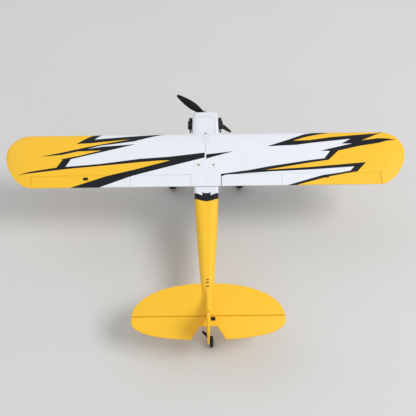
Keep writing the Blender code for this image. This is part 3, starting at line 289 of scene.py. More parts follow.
def loft(rings, ends_meet=False):
    """Skins rings of equally many points."""
    bm = bmesh.new()
    rows = [[bm.verts.new(point) for point in ring] for ring in rings]
    count = len(rows[0])
    pairs = list(zip(rows, rows[1:]))
    if ends_meet:
        pairs.append((rows[-1], rows[0]))
    else:
        bm.faces.new(rows[0])
        bm.faces.new(rows[-1])
    for first, second in pairs:
        for i in range(count):
            j = (i + 1) % count
            bm.faces.new((first[i], first[j], second[j], second[i]))
    return bm


def turned(profile, centre, direction, steps=48):
    """An outline of (radius, height) points turned about an axis through centre."""
    bm = bmesh.new()
    verts = [bm.verts.new((radius, 0.0, height)) for radius, height in profile]
    edges = [bm.edges.new(pair) for pair in zip(verts, verts[1:])]
    if min(radius for radius, _ in profile) > 0.0:
        edges.append(bm.edges.new((verts[-1], verts[0])))
    geom = verts + edges
    bmesh.ops.spin(bm, geom=geom, axis=UP, cent=(0, 0, 0), angle=math.tau, steps=steps, use_merge=True)
    bmesh.ops.remove_doubles(bm, verts=bm.verts, dist=1e-6)
    bmesh.ops.recalc_face_normals(bm, faces=bm.faces)
    turn = Vector(UP).rotation_difference(Vector(direction)).to_matrix().to_4x4()
    bm.transform(Matrix.Translation(centre) @ turn)
    return bm


def wheel_like(profile, centre, steps):
    """A body turned about X from half a profile and its mirror image."""
    back = profile[:-1] if profile[-1][1] == 0.0 else profile
    return turned(profile + [(r, -h) for r, h in reversed(back)], centre, (1, 0, 0), steps)


def screw_head(place, direction, radius, shoulder, height):
    profile = [(0, 0), (radius, 0), (radius - 0.0002, shoulder), (0, height)]
    return turned(profile, place, direction, 20)


def span(side, low, high):
    """Low and high of a range of x on one side."""
    return sorted((side * low, side * high))


def block(low, high):
    bm = bmesh.new()
    bmesh.ops.create_cube(bm, size=1.0)
    low, high = Vector(low), Vector(high)
    bmesh.ops.scale(bm, vec=high - low, verts=bm.verts)
    bmesh.ops.translate(bm, vec=(low + high) / 2, verts=bm.verts)
    return bm


def prism(outline, axis, low, high):
    """A flat outline given thickness along X or Z."""
    rings = []
    for t in (low, high):
        rings.append([(t, a, b) if axis == "X" else (a, b, t) for a, b in outline])
    return loft(rings)


def circle(count, total=None):
    """Cosine and sine of each step round a circle of count steps."""
    angles = [math.tau * k / count for k in range(total or count)]
    return [(math.cos(angle), math.sin(angle)) for angle in angles]


def tube(points, radius, sides=16):
    """A round rod along a bent line, mitred at its corners."""
    points = [Vector(p) for p in points]
    legs = [(b - a).normalized() for a, b in zip(points, points[1:])]
    side = legs[0].orthogonal().normalized()
    rings = []
    for i, point in enumerate(points):
        before, after = legs[max(i - 1, 0)], legs[min(i, len(legs) - 1)]
        side = before.rotation_difference(after) @ side
        cut, up = (before + after).normalized(), after.cross(side)
        ring = []
        for cosine, sine in circle(sides):
            offset = radius * (cosine * side + sine * up)
            ring.append(point + offset - offset.dot(cut) / after.dot(cut) * after)
        rings.append(ring)
    return loft(rings)


def merge(target, source, material):
    """Moves one bmesh's geometry into another."""
    for face in source.faces:
        face.material_index = material
    face_out(source)
    mesh = mesh_from(source, "part")
    target.from_mesh(mesh)
    bpy.data.meshes.remove(mesh)


def finish_parts(name, parts):
    """One mesh of several closed bodies, each (bmesh, material index)."""
    bm = bmesh.new()
    for part, material in parts:
        merge(bm, part, material)
    return mesh_from(bm, name)


def carve(mesh, cutters, name="carved"):
    """Boolean difference, worked out at once. Cut faces keep the mesh's first material."""
    body = into_scene(name, mesh)
    tools = []
    for k, cutter in enumerate(cutters):
        tool = into_scene(f"{name}_tool_{k}", finish_parts("tool", [(cutter, 0)]))
        modifier = body.modifiers.new(f"cut_{k}", "BOOLEAN")
        modifier.operation, modifier.object, modifier.solver = "DIFFERENCE", tool, "EXACT"
        tools.append(tool)
    if not mesh.materials:
        for look in FOAM_LOOKS:
            mesh.materials.append(LOOKS[look])
    bpy.context.view_layer.update()
    result = bpy.data.meshes.new_from_object(body.evaluated_get(bpy.context.evaluated_depsgraph_get()))
    for obj in [body, *tools]:
        bpy.data.objects.remove(obj)
    paints = [0] * len(result.polygons)
    result.polygons.foreach_get("material_index", paints)
    result.materials.clear()
    result.polygons.foreach_set("material_index", paints)
    bm = bmesh.new()
    bm.from_mesh(result)
    bmesh.ops.remove_doubles(bm, verts=bm.verts, dist=1e-6)
    bmesh.ops.holes_fill(bm, edges=[edge for edge in bm.edges if edge.is_boundary], sides=0)
    bm.to_mesh(result)
    bm.free()
    return result


def inset(outline, distance):
    """The closed outline moved inwards."""
    area = sum(a[0] * b[1] - b[0] * a[1] for a, b in zip(outline, outline[1:] + outline[:1]))
    turn = 1.0 if area > 0 else -1.0
    distances = distance if isinstance(distance, list) else [distance] * len(outline)
    moved = []
    for i, point in enumerate(outline):
        here = Vector(point)
        into = (here - Vector(outline[i - 1])).normalized()
        out = (Vector(outline[(i + 1) % len(outline)]) - here).normalized()
        n1, n2 = Vector((-into.y, into.x)) * turn, Vector((-out.y, out.x)) * turn
        moved.append(here + (n1 + n2) / max(1.0 + n1.dot(n2), 0.4) * distances[i])
    return moved


def arc_points(start, stop, count, place):
    return [place(math.radians(start + (stop - start) * k / (count - 1))) for k in range(count)]


def lerp_table(table, value, column):
    """Smooth interpolation in a table sorted by falling first column."""
    if value >= table[0][0]:
        return table[0][column]
    for first, second in zip(table, table[1:]):
        if value >= second[0]:
            share = (first[0] - value) / (first[0] - second[0])
            return first[column] + share * (second[column] - first[column])
    return table[-1][column]


# ---- livery --------------------------------------------------------------------------------------

EDGE = 0.03  # past the leading edge
BACK = -0.22  # past the trailing edge

LEFT_BLACK = (
    ((-0.3675, 0.0085), (-0.3395, 0.012), (-0.368, -0.019), (-0.129, 0.0075), (-0.25, -0.02),
     (-0.382, -0.036), (-0.426, -0.038)),
    ((-0.54, -0.088), (-0.467, -0.072), (-0.393, -0.053), (-0.25, -0.02), (-0.129, 0.0075),
     (-0.238, -0.03), (-0.347, -0.047), (-0.386, -0.059), (-0.341, -0.066), (-0.418, -0.069),
     (-0.466, -0.081)),
    ((-0.386, -0.059), (-0.338, -0.051), (-0.229, -0.042), (-0.311, -0.065), (-0.437, -0.098),
     (-0.464, -0.1), (-0.47, -0.098), (-0.413, -0.086), (-0.341, -0.066)),
    ((-0.464, -0.1), (-0.437, -0.098), (-0.452, -0.126), (-0.481, -0.128)),
    ((-0.606, -0.151), (-0.561, -0.141), (-0.481, -0.128), (-0.452, -0.126), (-0.342, -0.117),
     (-0.216, -0.1), (-0.116, -0.093), (-0.004, -0.079), (-0.004, -0.098), (-0.064, -0.114),
     (-0.149, -0.137), (-0.228, -0.158), (-0.238, -0.161), (-0.3435, -0.2), (-0.436, -0.2),
     (-0.318, -0.16), (-0.282, -0.151), (-0.228, -0.138), (-0.145, -0.115), (-0.116, -0.107),
     (-0.15, -0.107), (-0.213, -0.112), (-0.341, -0.124), (-0.451, -0.134), (-0.56, -0.147)),
)
LEFT_YELLOW = (
    (-0.354, EDGE), (-0.354, 0.01), (-0.385, -0.025), (-0.255, -0.014), (-0.243, -0.024), (-0.38, -0.0537),
    (-0.395, -0.061), (-0.36, -0.0605), (-0.334, -0.0625), (-0.4, -0.0855), (-0.452, -0.0985),
    (-0.466, -0.127), (-0.452, -0.13), (-0.342, -0.1205), (-0.216, -0.106), (-0.112, -0.1),
    (-0.11, -0.1035), (-0.145, -0.126), (-0.228, -0.148), (-0.282, -0.162), (-0.389, -0.2),
    (-0.389, BACK), (-0.7, BACK), (-0.7, EDGE),
)
# Black film on the right wing. The first shape also runs a thin strip at x 0.047 to 0.049 from the hinge to past
# the trailing edge, on the centre piece's edge beside the flap: painted shade of the gap there.
RIGHT_BLACK_AND_GAP_SHADE = (
    ((0.2, -0.058), (0.276, -0.029), (0.33, -0.0038), (0.3587, 0.0045), (0.385, 0.012), (0.449, 0.012),
     (0.334, -0.018), (0.289, -0.035), (0.345, -0.033), (0.414, -0.021), (0.568, -0.004), (0.599, 0.0065),
     (0.543, -0.024), (0.515, -0.037), (0.571, -0.0285), (0.6, -0.0285), (0.631, -0.033), (0.597, -0.039),
     (0.5725, -0.048), (0.553, -0.052), (0.505, -0.06), (0.432, -0.078), (0.397, -0.112), (0.336, -0.121),
     (0.19, -0.1455), (0.334, -0.137), (0.517, -0.122), (0.485, -0.155), (0.462, -0.158), (0.391, -0.171),
     (0.28, -0.2), (0.252, -0.2), (0.371, -0.166), (0.428, -0.158), (0.463, -0.151), (0.477, -0.137),
     (0.334, -0.146), (0.205, -0.151), (0.062, -0.1605), (0.049, -0.166), (0.049, WING_TE - 0.01),
     (0.047, WING_TE - 0.01), (0.047, -0.1575), (0.138, -0.145), (0.206, -0.132), (0.336, -0.112),
     (0.384, -0.106), (0.405, -0.079), (0.374, -0.077), (0.481, -0.05), (0.446, -0.05), (0.479, -0.03),
     (0.343, -0.046), (0.299, -0.053), (0.246, -0.055)),
    ((0.001, -0.086), (0.001, -0.102), (0.091, -0.075)),
)
RIGHT_YELLOW = (
    (0.392, EDGE), (0.392, 0.01), (0.335, -0.008), (0.262, -0.044), (0.3, -0.045), (0.345, -0.04),
    (0.414, -0.031), (0.479, -0.024), (0.5, -0.04), (0.47, -0.061), (0.42, -0.077), (0.39, -0.109),
    (0.336, -0.1165), (0.206, -0.138), (0.17, -0.1475), (0.334, -0.1415), (0.49, -0.13), (0.495, -0.14),
    (0.474, -0.1545), (0.391, -0.168), (0.266, -0.2), (0.266, BACK), (0.7, BACK), (0.7, EDGE),
)
FOAM_LOOKS = ("white_foam", "yellow_foam", "black_film", "raw_foam", "joint")
WHITE_PAINT, YELLOW_PAINT, BLACK_PAINT, BARE, JOINT = range(len(FOAM_LOOKS))
JOINT_LINE = ((-0.0011, -0.042), (-0.0011, -0.078), (-0.0001, -0.078), (-0.0001, -0.042))
WING_PAINT = {
    -1: [(LEFT_YELLOW, YELLOW_PAINT), *((shape, BLACK_PAINT) for shape in LEFT_BLACK), (JOINT_LINE, JOINT)],
    1: [(RIGHT_YELLOW, YELLOW_PAINT), *((shape, BLACK_PAINT) for shape in RIGHT_BLACK_AND_GAP_SHADE)],
}


def painted_plan(outline, lines, paint):
    """A flat outline split along guide lines and paint edges: points, triangles, paint of each triangle."""
    points, edges, faces = [], [], []

    def chain(path, closed):
        start = len(points)
        if closed and sum(p[0] * q[1] - q[0] * p[1] for p, q in zip(path, [*path[1:], path[0]])) < 0:
            path = path[::-1]
        points.extend(Vector(p) for p in path)
        run = list(range(start, len(points)))
        edges.extend(zip(run, run[1:]))
        if closed:
            edges.append((run[-1], run[0]))
        return run

    faces.append(chain(outline, True))
    for shape, _ in paint:
        faces.append(chain(shape, True))
    for line in lines:
        chain(line, False)
    flat, _, triangles, _, _, sources = delaunay_2d_cdt(points, edges, faces, 1, 1e-6)
    kept, colours = [], []
    for triangle, source in zip(triangles, sources):
        if 0 in source:
            kept.append(triangle)
            colours.append(paint[max(source) - 1][1] if max(source) > 0 else WHITE_PAINT)
    return flat, kept, colours


def two_skins(name, outline, lines, paint, above, below):
    """A closed panel over a flat outline: one skin above, one below, and walls where they don't meet."""
    flat, triangles, colours = painted_plan(outline, lines, paint)
    bm = bmesh.new()
    upper = [bm.verts.new((p.x, p.y, above(p.x, p.y))) for p in flat]
    lower = [bm.verts.new((p.x, p.y, below(p.x, p.y))) for p in flat]
    rim = {}
    for triangle, colour in zip(triangles, colours):
        for a, b in zip(triangle, triangle[1:] + triangle[:1]):
            rim[frozenset((a, b))] = None if frozenset((a, b)) in rim else (a, b, colour)
        for verts in (upper, lower):
            face = bm.faces.new([verts[i] for i in triangle])
            face.material_index = colour
            if verts is lower:
                face.normal_flip()
    for wall in rim.values():
        if wall:
            a, b, colour = wall
            face = bm.faces.new((upper[a], lower[a], lower[b], upper[b]))
            face.material_index = colour
    loose = [v for v in bm.verts if not v.link_faces]
    bmesh.ops.delete(bm, geom=loose, context="VERTS")
    return bare_mesh(bm, name)


# ---- wing ----------------------------------------------------------------------------------------


def thickness_share(share):
    root = math.sqrt(max(share, 0.0))
    return 10 * (0.2969 * root - 0.126 * share - 0.3516 * share**2 + 0.2843 * share**3 - 0.1036 * share**4)


def section_height(share, top):
    middle = WING_FLAT + 0.0075 - 0.0063 * share
    thick, edge = thickness_share(share), 0.0012 * share
    return middle + 0.0175 * thick + edge if top else middle - 0.0068 * thick - edge


def wing_edges(x):
    tip = SPAN / 2

    def reach(start, length, power):
        share = min(max((abs(x) - start) / (tip - start), 0.0), 1.0)
        return length * (1.0 - share**power) ** (1.0 / power)

    front = TIP_WIDEST_Y + reach(0.58, WING_LE - TIP_WIDEST_Y, 2.2)
    return front, TIP_WIDEST_Y - reach(0.56, TIP_WIDEST_Y - WING_TE, 1.6)


def wing_z(x, y, top):
    front, rear = wing_edges(x)
    length = max(front - rear, 1e-5)
    share = min(max((front - y) / length, 0.0), 1.0)
    middle = WING_FLAT + 0.006
    z = middle + (section_height(share, top) - middle) * (length / CHORD) ** 0.8
    if top and 0.049 < abs(x) < AILERON_OUT:
        z -= GROOVE_DEPTH * max(0.0, 1.0 - abs(y - HINGE_Y) / GROOVE_HALF)
    return z


def wing_top(x, y):
    return wing_z(x, y, True)


def wing_bottom(x, y):
    return wing_z(x, y, False)


BOLT_HEAD_Z = wing_top(0.0, BOLT_Y) - 0.0016

CHORD_SHARES = (
    0.001, 0.004, 0.01, 0.02, 0.035, 0.055, 0.08, 0.11, 0.15, 0.2, 0.27, 0.35, 0.45, 0.56, 0.68, 0.77, 0.86,
    0.94
)
TIP_X = (
    0.56, 0.576, 0.59, 0.601, 0.61, 0.618, 0.625, 0.631, 0.6365, 0.641, 0.645, 0.6482, 0.6508,
    0.6527, 0.6539
)


def wing_panel(side, name):
    spots = (WING_ROOT, 0.1, 0.2, 0.3, 0.4, 0.5, *TIP_X)
    lead = [(side * x, wing_edges(x)[0]) for x in spots]
    trail = [(side * x, wing_edges(x)[1]) for x in reversed(TIP_X)]
    bay = [(AILERON_OUT, WING_TE), (AILERON_OUT, HINGE_Y), (FLAP_IN, HINGE_Y), (FLAP_IN, WING_TE)]
    bay.append((WING_ROOT, WING_TE))
    outline = lead + trail + [(side * x, y) for x, y in bay]
    lines = []
    for share in CHORD_SHARES:
        ends = [(x, *wing_edges(x)) for x in spots]
        lines.append([(side * x, front - share * (front - rear)) for x, front, rear in ends])
    for x in TIP_X[1:]:
        lines.append([(side * x, y) for y in wing_edges(x)])
    for offset in (0.0006, 0.0012):
        lines.append([(side * FLAP_IN, HINGE_Y + offset), (side * AILERON_OUT, HINGE_Y + offset)])
    mesh = two_skins(f"wing_{name}", outline, lines, WING_PAINT[side], wing_top, wing_bottom)
    holes = []
    for radius, length, z, steps in ((0.0042, 0.02, BOLT_HEAD_Z, 32), (0.0024, 0.05, 0.07, 24)):
        profile = [(0, 0), (radius, 0), (radius, length), (0, length)]
        holes.append(turned(profile, (side * BOLT_X, BOLT_Y, z), UP, steps))
    x0, x1 = span(side, HORN_X - 0.0305, HORN_X + 0.0045)
    holes.append(block((x0, -0.123, 0.085), (x1, -0.085, 0.106)))
    mesh = carve(mesh, holes, f"wing_{name}")
    add(f"wing_panel_{name}", mesh, "airframe", FOAM_LOOKS, [f"wing_{name}"], smooth=35)


def trailing_piece(side, name, kind, low_x, high_x):
    """Flap or aileron behind the hinge groove, bevelled below."""
    front = HINGE_Y - 1.75 * GAP
    x0, x1 = span(side, low_x, high_x)
    outline = [(x0, front), (x1, front), (x1, WING_TE), (x0, WING_TE)]
    steps = (0.0006, 0.0012, 0.0085, 0.0092, 0.02, 0.03, 0.0375)
    lines = [[(x0, front - step), (x1, front - step)] for step in steps]
    start = section_height((WING_LE - front) / CHORD, False)

    def under(x, y):
        slope = max(0.0, 1.0 - (front - y) / 0.0085)
        return wing_bottom(x, y) + (wing_top(x, front) - 0.0004 - start) * slope

    mesh = two_skins(f"{kind}_{name}", outline, lines, WING_PAINT[side], wing_top, under)
    if kind == "aileron":
        x = side * HORN_X
        slit = block((x - 0.0034, HINGE_Y - 0.0144, 0.08), (x + 0.0034, HINGE_Y - 0.0096, 0.12))
        mesh = carve(mesh, [slit])
    add(f"{kind}_skin_{name}", mesh, f"{kind}_{name}", FOAM_LOOKS, [f"{kind}_{name}"], smooth=35)


for wing_side, wing_name in SIDES:
    wing_panel(wing_side, wing_name)
    trailing_piece(wing_side, wing_name, "flap", FLAP_IN + 1.5 * BAY_GAP, AILERON_IN - BAY_GAP / 2)
    trailing_piece(wing_side, wing_name, "aileron", AILERON_IN + BAY_GAP / 2, AILERON_OUT - 2 * BAY_GAP)

# ---- fuselage ------------------------------------------------------------------------------------

SEAM = 0.00003
FROM_ABOVE, FROM_SIDE = (0, 1), (1, 2)  # the two axes that a view shows
# y, half width, bottom, top, top corner radius, half width of the open top
STATIONS = (
    (0.1455, 0.0450, -0.0600, 0.0425, 0.011, 0.0),
    (HATCH_FRONT + 0.0004, 0.0452, -0.0604, 0.0428, DECK_CORNER, 0.0),
    (HATCH_FRONT, 0.0452, -0.0604, 0.0428, DECK_CORNER, HATCH_HALF),
    (0.1175, 0.0460, -0.0625, 0.0440, DECK_CORNER, HATCH_HALF),
    (0.0850, 0.0466, -0.0655, 0.0460, DECK_CORNER, HATCH_HALF),
    (HATCH_REAR, 0.0466, -0.0660, 0.0480, DECK_CORNER, HATCH_HALF),
    (HATCH_REAR - 0.0004, 0.0466, -0.0660, 0.0480, DECK_CORNER, 0.0),
    (0.0405, 0.0465, -0.0660, 0.0485, 0.011, 0.0),
    (0.0401, 0.0465, -0.0660, 0.0490, 0.011, 0.034),
    (0.0062, 0.0455, -0.0662, 0.0908, 0.006, 0.034),
    (0.0058, 0.0455, -0.0662, 0.0908, 0.006, 0.030),
    (-0.0400, 0.0439, -0.0664, 0.0908, 0.006, 0.030),
    (-0.1000, 0.0419, -0.0655, 0.0908, 0.006, 0.030),
    (-0.1156, 0.0413, -0.0652, 0.0908, 0.006, 0.030),
    (-0.1160, 0.0413, -0.0652, 0.0908, 0.006, 0.0),
    (-0.1340, 0.0407, -0.0645, 0.0908, 0.006, 0.0),
    (-0.1344, 0.0407, -0.0645, 0.0908, 0.006, 0.030),
    (-0.1850, 0.0390, -0.0618, 0.0908, 0.006, 0.030),
    (-0.1854, 0.0390, -0.0618, 0.0908, 0.006, 0.0),
    (-0.1990, 0.0385, -0.0610, 0.0908, 0.008, 0.0),
    (-0.2380, 0.0370, -0.0580, 0.0660, 0.020, 0.0),
    (-0.3000, 0.0340, -0.0510, 0.0580, 0.026, 0.0),
    (-0.4300, 0.0250, -0.0360, 0.0490, 0.021, 0.0),
    (-0.5050, 0.0188, -0.0270, 0.0445, 0.016, 0.0),
    (-0.5750, 0.0110, -0.0190, 0.0415, 0.008, 0.0),
    (-0.6036, 0.0080, -0.0160, 0.0400, 0.005, 0.0),
    (-0.6040, 0.0080, -0.0160, 0.0090, 0.003, 0.0),
    (-0.6380, 0.0060, -0.0145, 0.0060, 0.003, 0.0),
)


def station_at(y):
    """The section's measures at y. Behind the wing they blend from one taper to the next."""
    reach = max(0.0, min(0.012, -0.199 - y, y + 0.6))
    steps = [y + reach * k / 3 for k in range(-3, 4)] if reach else [y]
    return [sum(lerp_table(STATIONS, step, column) for step in steps) / len(steps) for column in range(1, 6)]


def keel_radius(half_width, bottom, top):
    return min(0.012, half_width * 0.6, (top - bottom) * 0.3)


def wall_at(half_width):
    return min(WALL, half_width * 0.62)


def half_section(half_width, bottom, top, corner, opening):
    """A finely rounded right half, from the top edge round to the keel."""
    corner = min(corner, half_width * 0.85, (top - bottom) * 0.45)
    keel = keel_radius(half_width, bottom, top)
    start = max(SEAM, min(opening, half_width - corner * 0.55))
    flat_end = half_width - corner
    points = []
    for k in range(6):
        points.append((start + max(flat_end - start, 0.0) * k / 6 + 0.00002 * k, 0.0))
    for k in range(13):
        angle = math.radians(90 - 7.5 * k)
        points.append((max(flat_end + corner * math.cos(angle), start + 0.00002 * (k + 6)), math.sin(angle)))
    ring = []
    for k, (x, _) in enumerate(points):
        across = min(max((x - flat_end) / corner, 0.0), 1.0)
        rise = corner * math.sqrt(1.0 - across**2) if k < 18 else 0.0
        ring.append((x, top - corner + rise))
    low, high = bottom + keel, top - corner
    ring += [(half_width, high + (low - high) * share) for share in (0.2, 0.4, 0.6, 0.8)]
    for k in range(9):
        angle = math.radians(-11.25 * k)
        ring.append((half_width - keel + keel * math.cos(angle), low + keel * math.sin(angle)))
    ring += [((half_width - keel) * share + SEAM * (1 - share), bottom) for share in (0.66, 0.33, 0.0)]
    return ring


def fuselage_ring(y):
    half_width, bottom, top, corner, opening = station_at(y)
    wall = wall_at(half_width)
    outer = half_section(half_width, bottom, top, corner, opening)
    inner = half_section(half_width - wall, bottom + wall, top - wall, max(corner - wall, 0.0012), opening)
    return outer + inner[::-1]


def inside(polygon, a, b):
    hit = False
    for (a0, b0), (a1, b1) in zip(polygon, [*polygon[1:], polygon[0]]):
        if (b0 > b) != (b1 > b) and a < a0 + (b - b0) * (a1 - a0) / (b1 - b0):
            hit = not hit
    return hit


def project_paint(bm, polygon, axes, accept, index):
    """Cuts the accepted faces along a polygon's edges, seen along the third axis, and paints those inside."""
    i, j = axes
    low = [min(p[k] for p in polygon) for k in (0, 1)]
    high = [max(p[k] for p in polygon) for k in (0, 1)]

    def near(face, a, b):
        return all(
            min(v.co[k] for v in face.verts) <= max(a[n], b[n]) + 1e-4
            and max(v.co[k] for v in face.verts) >= min(a[n], b[n]) - 1e-4
            for n, k in enumerate(axes)
        )

    for a, b in zip(polygon, [*polygon[1:], polygon[0]]):
        faces = [f for f in bm.faces if accept(f) and near(f, a, b)]
        point, normal = Vector((0, 0, 0)), Vector((0, 0, 0))
        point[i], point[j] = a
        normal[i], normal[j] = b[1] - a[1], a[0] - b[0]
        geom = list({v for f in faces for v in f.verts}) + list({e for f in faces for e in f.edges}) + faces
        bmesh.ops.bisect_plane(bm, geom=geom, dist=1e-6, plane_co=point, plane_no=normal.normalized())
    for face in bm.faces:
        middle = face.calc_center_median()
        if low[0] < middle[i] < high[0] and low[1] < middle[j] < high[1] and accept(face):
            if inside(polygon, middle[i], middle[j]):
                face.material_index = index


def rounded_outline(outline, radius, steps=6):
    """A closed outline with its corners rounded."""
    points = []
    for i, here in enumerate(outline):
        here = Vector(here)
        before, after = Vector(outline[i - 1]), Vector(outline[(i + 1) % len(outline)])
        start = here + (before - here).normalized() * radius
        end = here + (after - here).normalized() * radius
        for k in range(steps + 1):
            t = k / steps
            points.append(start * (1 - t) ** 2 + here * 2 * t * (1 - t) + end * t**2)
    return points


def rounded_box(low, high, radius, steps=6):
    """A rectangle with rounded corners, from its low corner to its high one."""
    return rounded_outline([low, (high[0], low[1]), high, (low[0], high[1])], radius, steps)


def mark_skin(bm):
    """Tells the outer faces, which are painted, from the bare inner ones. Returns the layer that holds it."""
    skin = bm.faces.layers.int.new("skin")
    for face in bm.faces:
        middle = face.calc_center_median()
        half_width, bottom, top, corner, _ = station_at(middle.y)
        wall = wall_at(half_width) * 0.5
        reach = abs(middle.x) > half_width - wall or middle.z > top - wall or middle.z < bottom + wall
        keel = keel_radius(half_width, bottom, top)
        for radius, height in ((corner, middle.z - (top - corner)), (keel, bottom + keel - middle.z)):
            across = abs(middle.x) - (half_width - radius)
            if across > 0 and height > 0:
                reach = math.hypot(across, height) > radius - wall
        face[skin] = 1 if reach else 0
        face.material_index = WHITE_PAINT if reach else BARE
    return skin


def paint_tail_band(bm, side, skin):
    """Yellow behind the wing, with a black band and its points where the yellow starts."""
    deck = [(0.0, -0.2148), (0.0085, -0.2145), (0.0137, -0.2115), (0.0132, -0.221), (0.0376, -0.2124)]
    deck.append((0.06, -0.2124))
    rear = [(0.06, -0.2272), (0.0365, -0.2272), (0.019, -0.2348), (0.0, -0.238)]
    drop = [(-0.2124, 0.12), (-0.2124, 0.062), (-0.196, 0.01), (-0.15, -0.08)]
    lift = [(-0.196, -0.08), (-0.222, 0.01), (-0.2272, 0.055), (-0.2272, 0.12)]

    def on_top(face):
        return face[skin] and face.normal.z > 0.6

    def on_side(face):
        return face[skin] and face.normal.z <= 0.6 and face.calc_center_median().y > -0.6039

    def flip(points):
        return [(side * x, y) for x, y in points]

    project_paint(bm, flip(deck + [(0.06, -0.7), (0.0, -0.7)]), FROM_ABOVE, on_top, YELLOW_PAINT)
    project_paint(bm, drop + [(-0.7, -0.08), (-0.7, 0.12)], FROM_SIDE, on_side, YELLOW_PAINT)
    project_paint(bm, flip(deck + rear), FROM_ABOVE, on_top, BLACK_PAINT)
    project_paint(bm, drop + lift, FROM_SIDE, on_side, BLACK_PAINT)
    for face in bm.faces:
        if face.calc_center_median().y < -0.602:
            face.material_index = YELLOW_PAINT


def fuselage_cutters(side):
    """Window openings, the stabilizer's slot, a rod's exit and the wing bolt's hole."""
    front = [(0.033, 0.016), (-0.06, 0.016), (-0.06, 0.078), (0.006, 0.078), (0.027, 0.044)]
    back = [(-0.07, 0.016), (-0.135, 0.016), (-0.17, 0.05), (-0.17, 0.078), (-0.07, 0.078)]
    cutters = [prism(rounded_outline(opening, 0.006), "X", -0.08, 0.08) for opening in (front, back)]
    half = STAB_THICK + GAP
    low, high = (-0.06, ELEVATOR_HINGE_Y - 0.002, STAB_Z - half), (0.06, STAB_LE + 0.0006, STAB_Z + half)
    cutters.append(block(low, high))
    if side < 0:
        cutters.append(block((-0.03, -0.56, -0.017), (-0.0085, -0.44, -0.0025)))
    else:
        cutters.append(block((0.01, -0.57, -0.0085), (0.03, -0.42, 0.015)))
    cutters.append(tube([(side * BOLT_X, BOLT_Y, 0.07), (side * BOLT_X, BOLT_Y, 0.12)], 0.0024, 24))
    return cutters


def fuselage_half(side, name):
    ys = {station[0] for station in STATIONS} | {
        0.129, 0.107, 0.096, 0.072, 0.06, 0.03, 0.018, -0.018, -0.062, -0.082, -0.15, -0.168
    }
    ys |= {-0.205 - 0.006 * k for k in range(10)} | {-0.275 - 0.02 * k for k in range(17)}
    rings = []
    for y in sorted(ys, reverse=True):
        if y >= STATIONS[-1][0]:
            rings.append([(side * x, y, z) for x, z in fuselage_ring(y)])
    bm = loft(rings)
    bm.normal_update()
    bmesh.ops.recalc_face_normals(bm, faces=bm.faces)
    paint_tail_band(bm, side, mark_skin(bm))
    mesh = carve(bare_mesh(bm, f"fuselage_{name}"), fuselage_cutters(side), f"fuselage_{name}")
    nodes = [f"fuselage_{name}"]
    add(f"fuselage_shell_{name}", mesh, "airframe", FOAM_LOOKS, nodes, smooth=32)


for wing_side, wing_name in SIDES:
    fuselage_half(wing_side, wing_name)


def hatch():
    half = HATCH_HALF - 0.0006
    rings = []
    for y in [HATCH_FRONT - 0.0006 - k * (HATCH_FRONT - HATCH_REAR - 0.0018) / 12 for k in range(13)]:
        top = lerp_table(STATIONS, y, 3)
        flat = lerp_table(STATIONS, y, 1) - DECK_CORNER
        profile = [(-half, top - 0.006), (half, top - 0.006)]
        for k in range(25):
            x = half * math.cos(math.pi * k / 24)
            across = max(abs(x) - flat, 0.0) / DECK_CORNER
            profile.append((x, top - 0.0002 - DECK_CORNER * (1 - math.sqrt(1 - across**2))))
        rings.append([(x, y, z) for x, z in profile])
    mesh = bare_mesh(loft(rings), "hatch")
    notch = tube([(0, MAGNET_Y, 0.0445), (0, MAGNET_Y, 0.06)], 0.005, 32)
    mesh = carve(mesh, [notch], "hatch")
    add("hatch_lid", mesh, "hatch", FOAM_LOOKS, ["hatch"], smooth=30, bevel=0.0004)
    disc = [(0, 0), (0.0036, 0), (0.0038, 0.0003), (0.0038, 0.0022), (0.0034, 0.0026), (0, 0.0027)]
    magnet = turned(disc, (0, MAGNET_Y, 0.0443), UP, 32)
    add("latch_magnet", bare_mesh(magnet, "latch_magnet"), "hatch", ["magnet"])


hatch()


def windshield():
    """The clear sheet before the cabin with its rounded edges."""
    low, high = Vector((0.04, 0.049)), Vector((0.0066, 0.0905))
    along = (high - low).normalized()
    out = Vector((along.y, -along.x))
    out = out if out.y > 0 else -out
    shield = rounded_box((-0.0413, 0.0), (0.0413, 1.0), 0.003)
    reach = (high - low).length - 0.001
    rings = []
    for lift in (0.0007, 0.0016):
        ring = []
        for x, share in shield:
            spot = low + along * min(max(share * reach, 0.0), reach) + out * lift
            ring.append((x, spot.x, spot.y))
        rings.append(ring)
    mesh = finish_parts("windshield", [(loft(rings), 0)])
    add("windshield_sheet", mesh, "airframe", ["clear_plastic"], ["windshield"])


windshield()

# ---- nose ----------------------------------------------------------------------------------------


def cowl_ring(y, shrink_x, shrink_z):
    """A closed ring round the cowl: a rounded box narrower at the keel."""
    half_width, bottom, top, corner, keel = 0.045, -0.06, 0.0425, 0.011, 0.012
    middle = (bottom + top) / 2
    right = [(x, top) for x in (0.006, 0.013, 0.02)]
    for k in range(15):
        a = math.pi / 2 * k / 14
        right.append((half_width - corner + corner * math.sin(a), top - corner + corner * math.cos(a)))
    right += [(half_width, top - corner + (bottom + keel - top + corner) * k / 5) for k in range(1, 5)]
    for k in range(9):
        a = math.pi / 2 * k / 8
        right.append((half_width - keel + keel * math.cos(a), bottom + keel - keel * math.sin(a)))
    right += [(x, bottom) for x in (0.026, 0.017, 0.008)]
    ring = right + [(-x, z) for x, z in reversed(right)]
    return [(x * shrink_x, y, middle + (z - middle) * shrink_z) for x, z in ring]


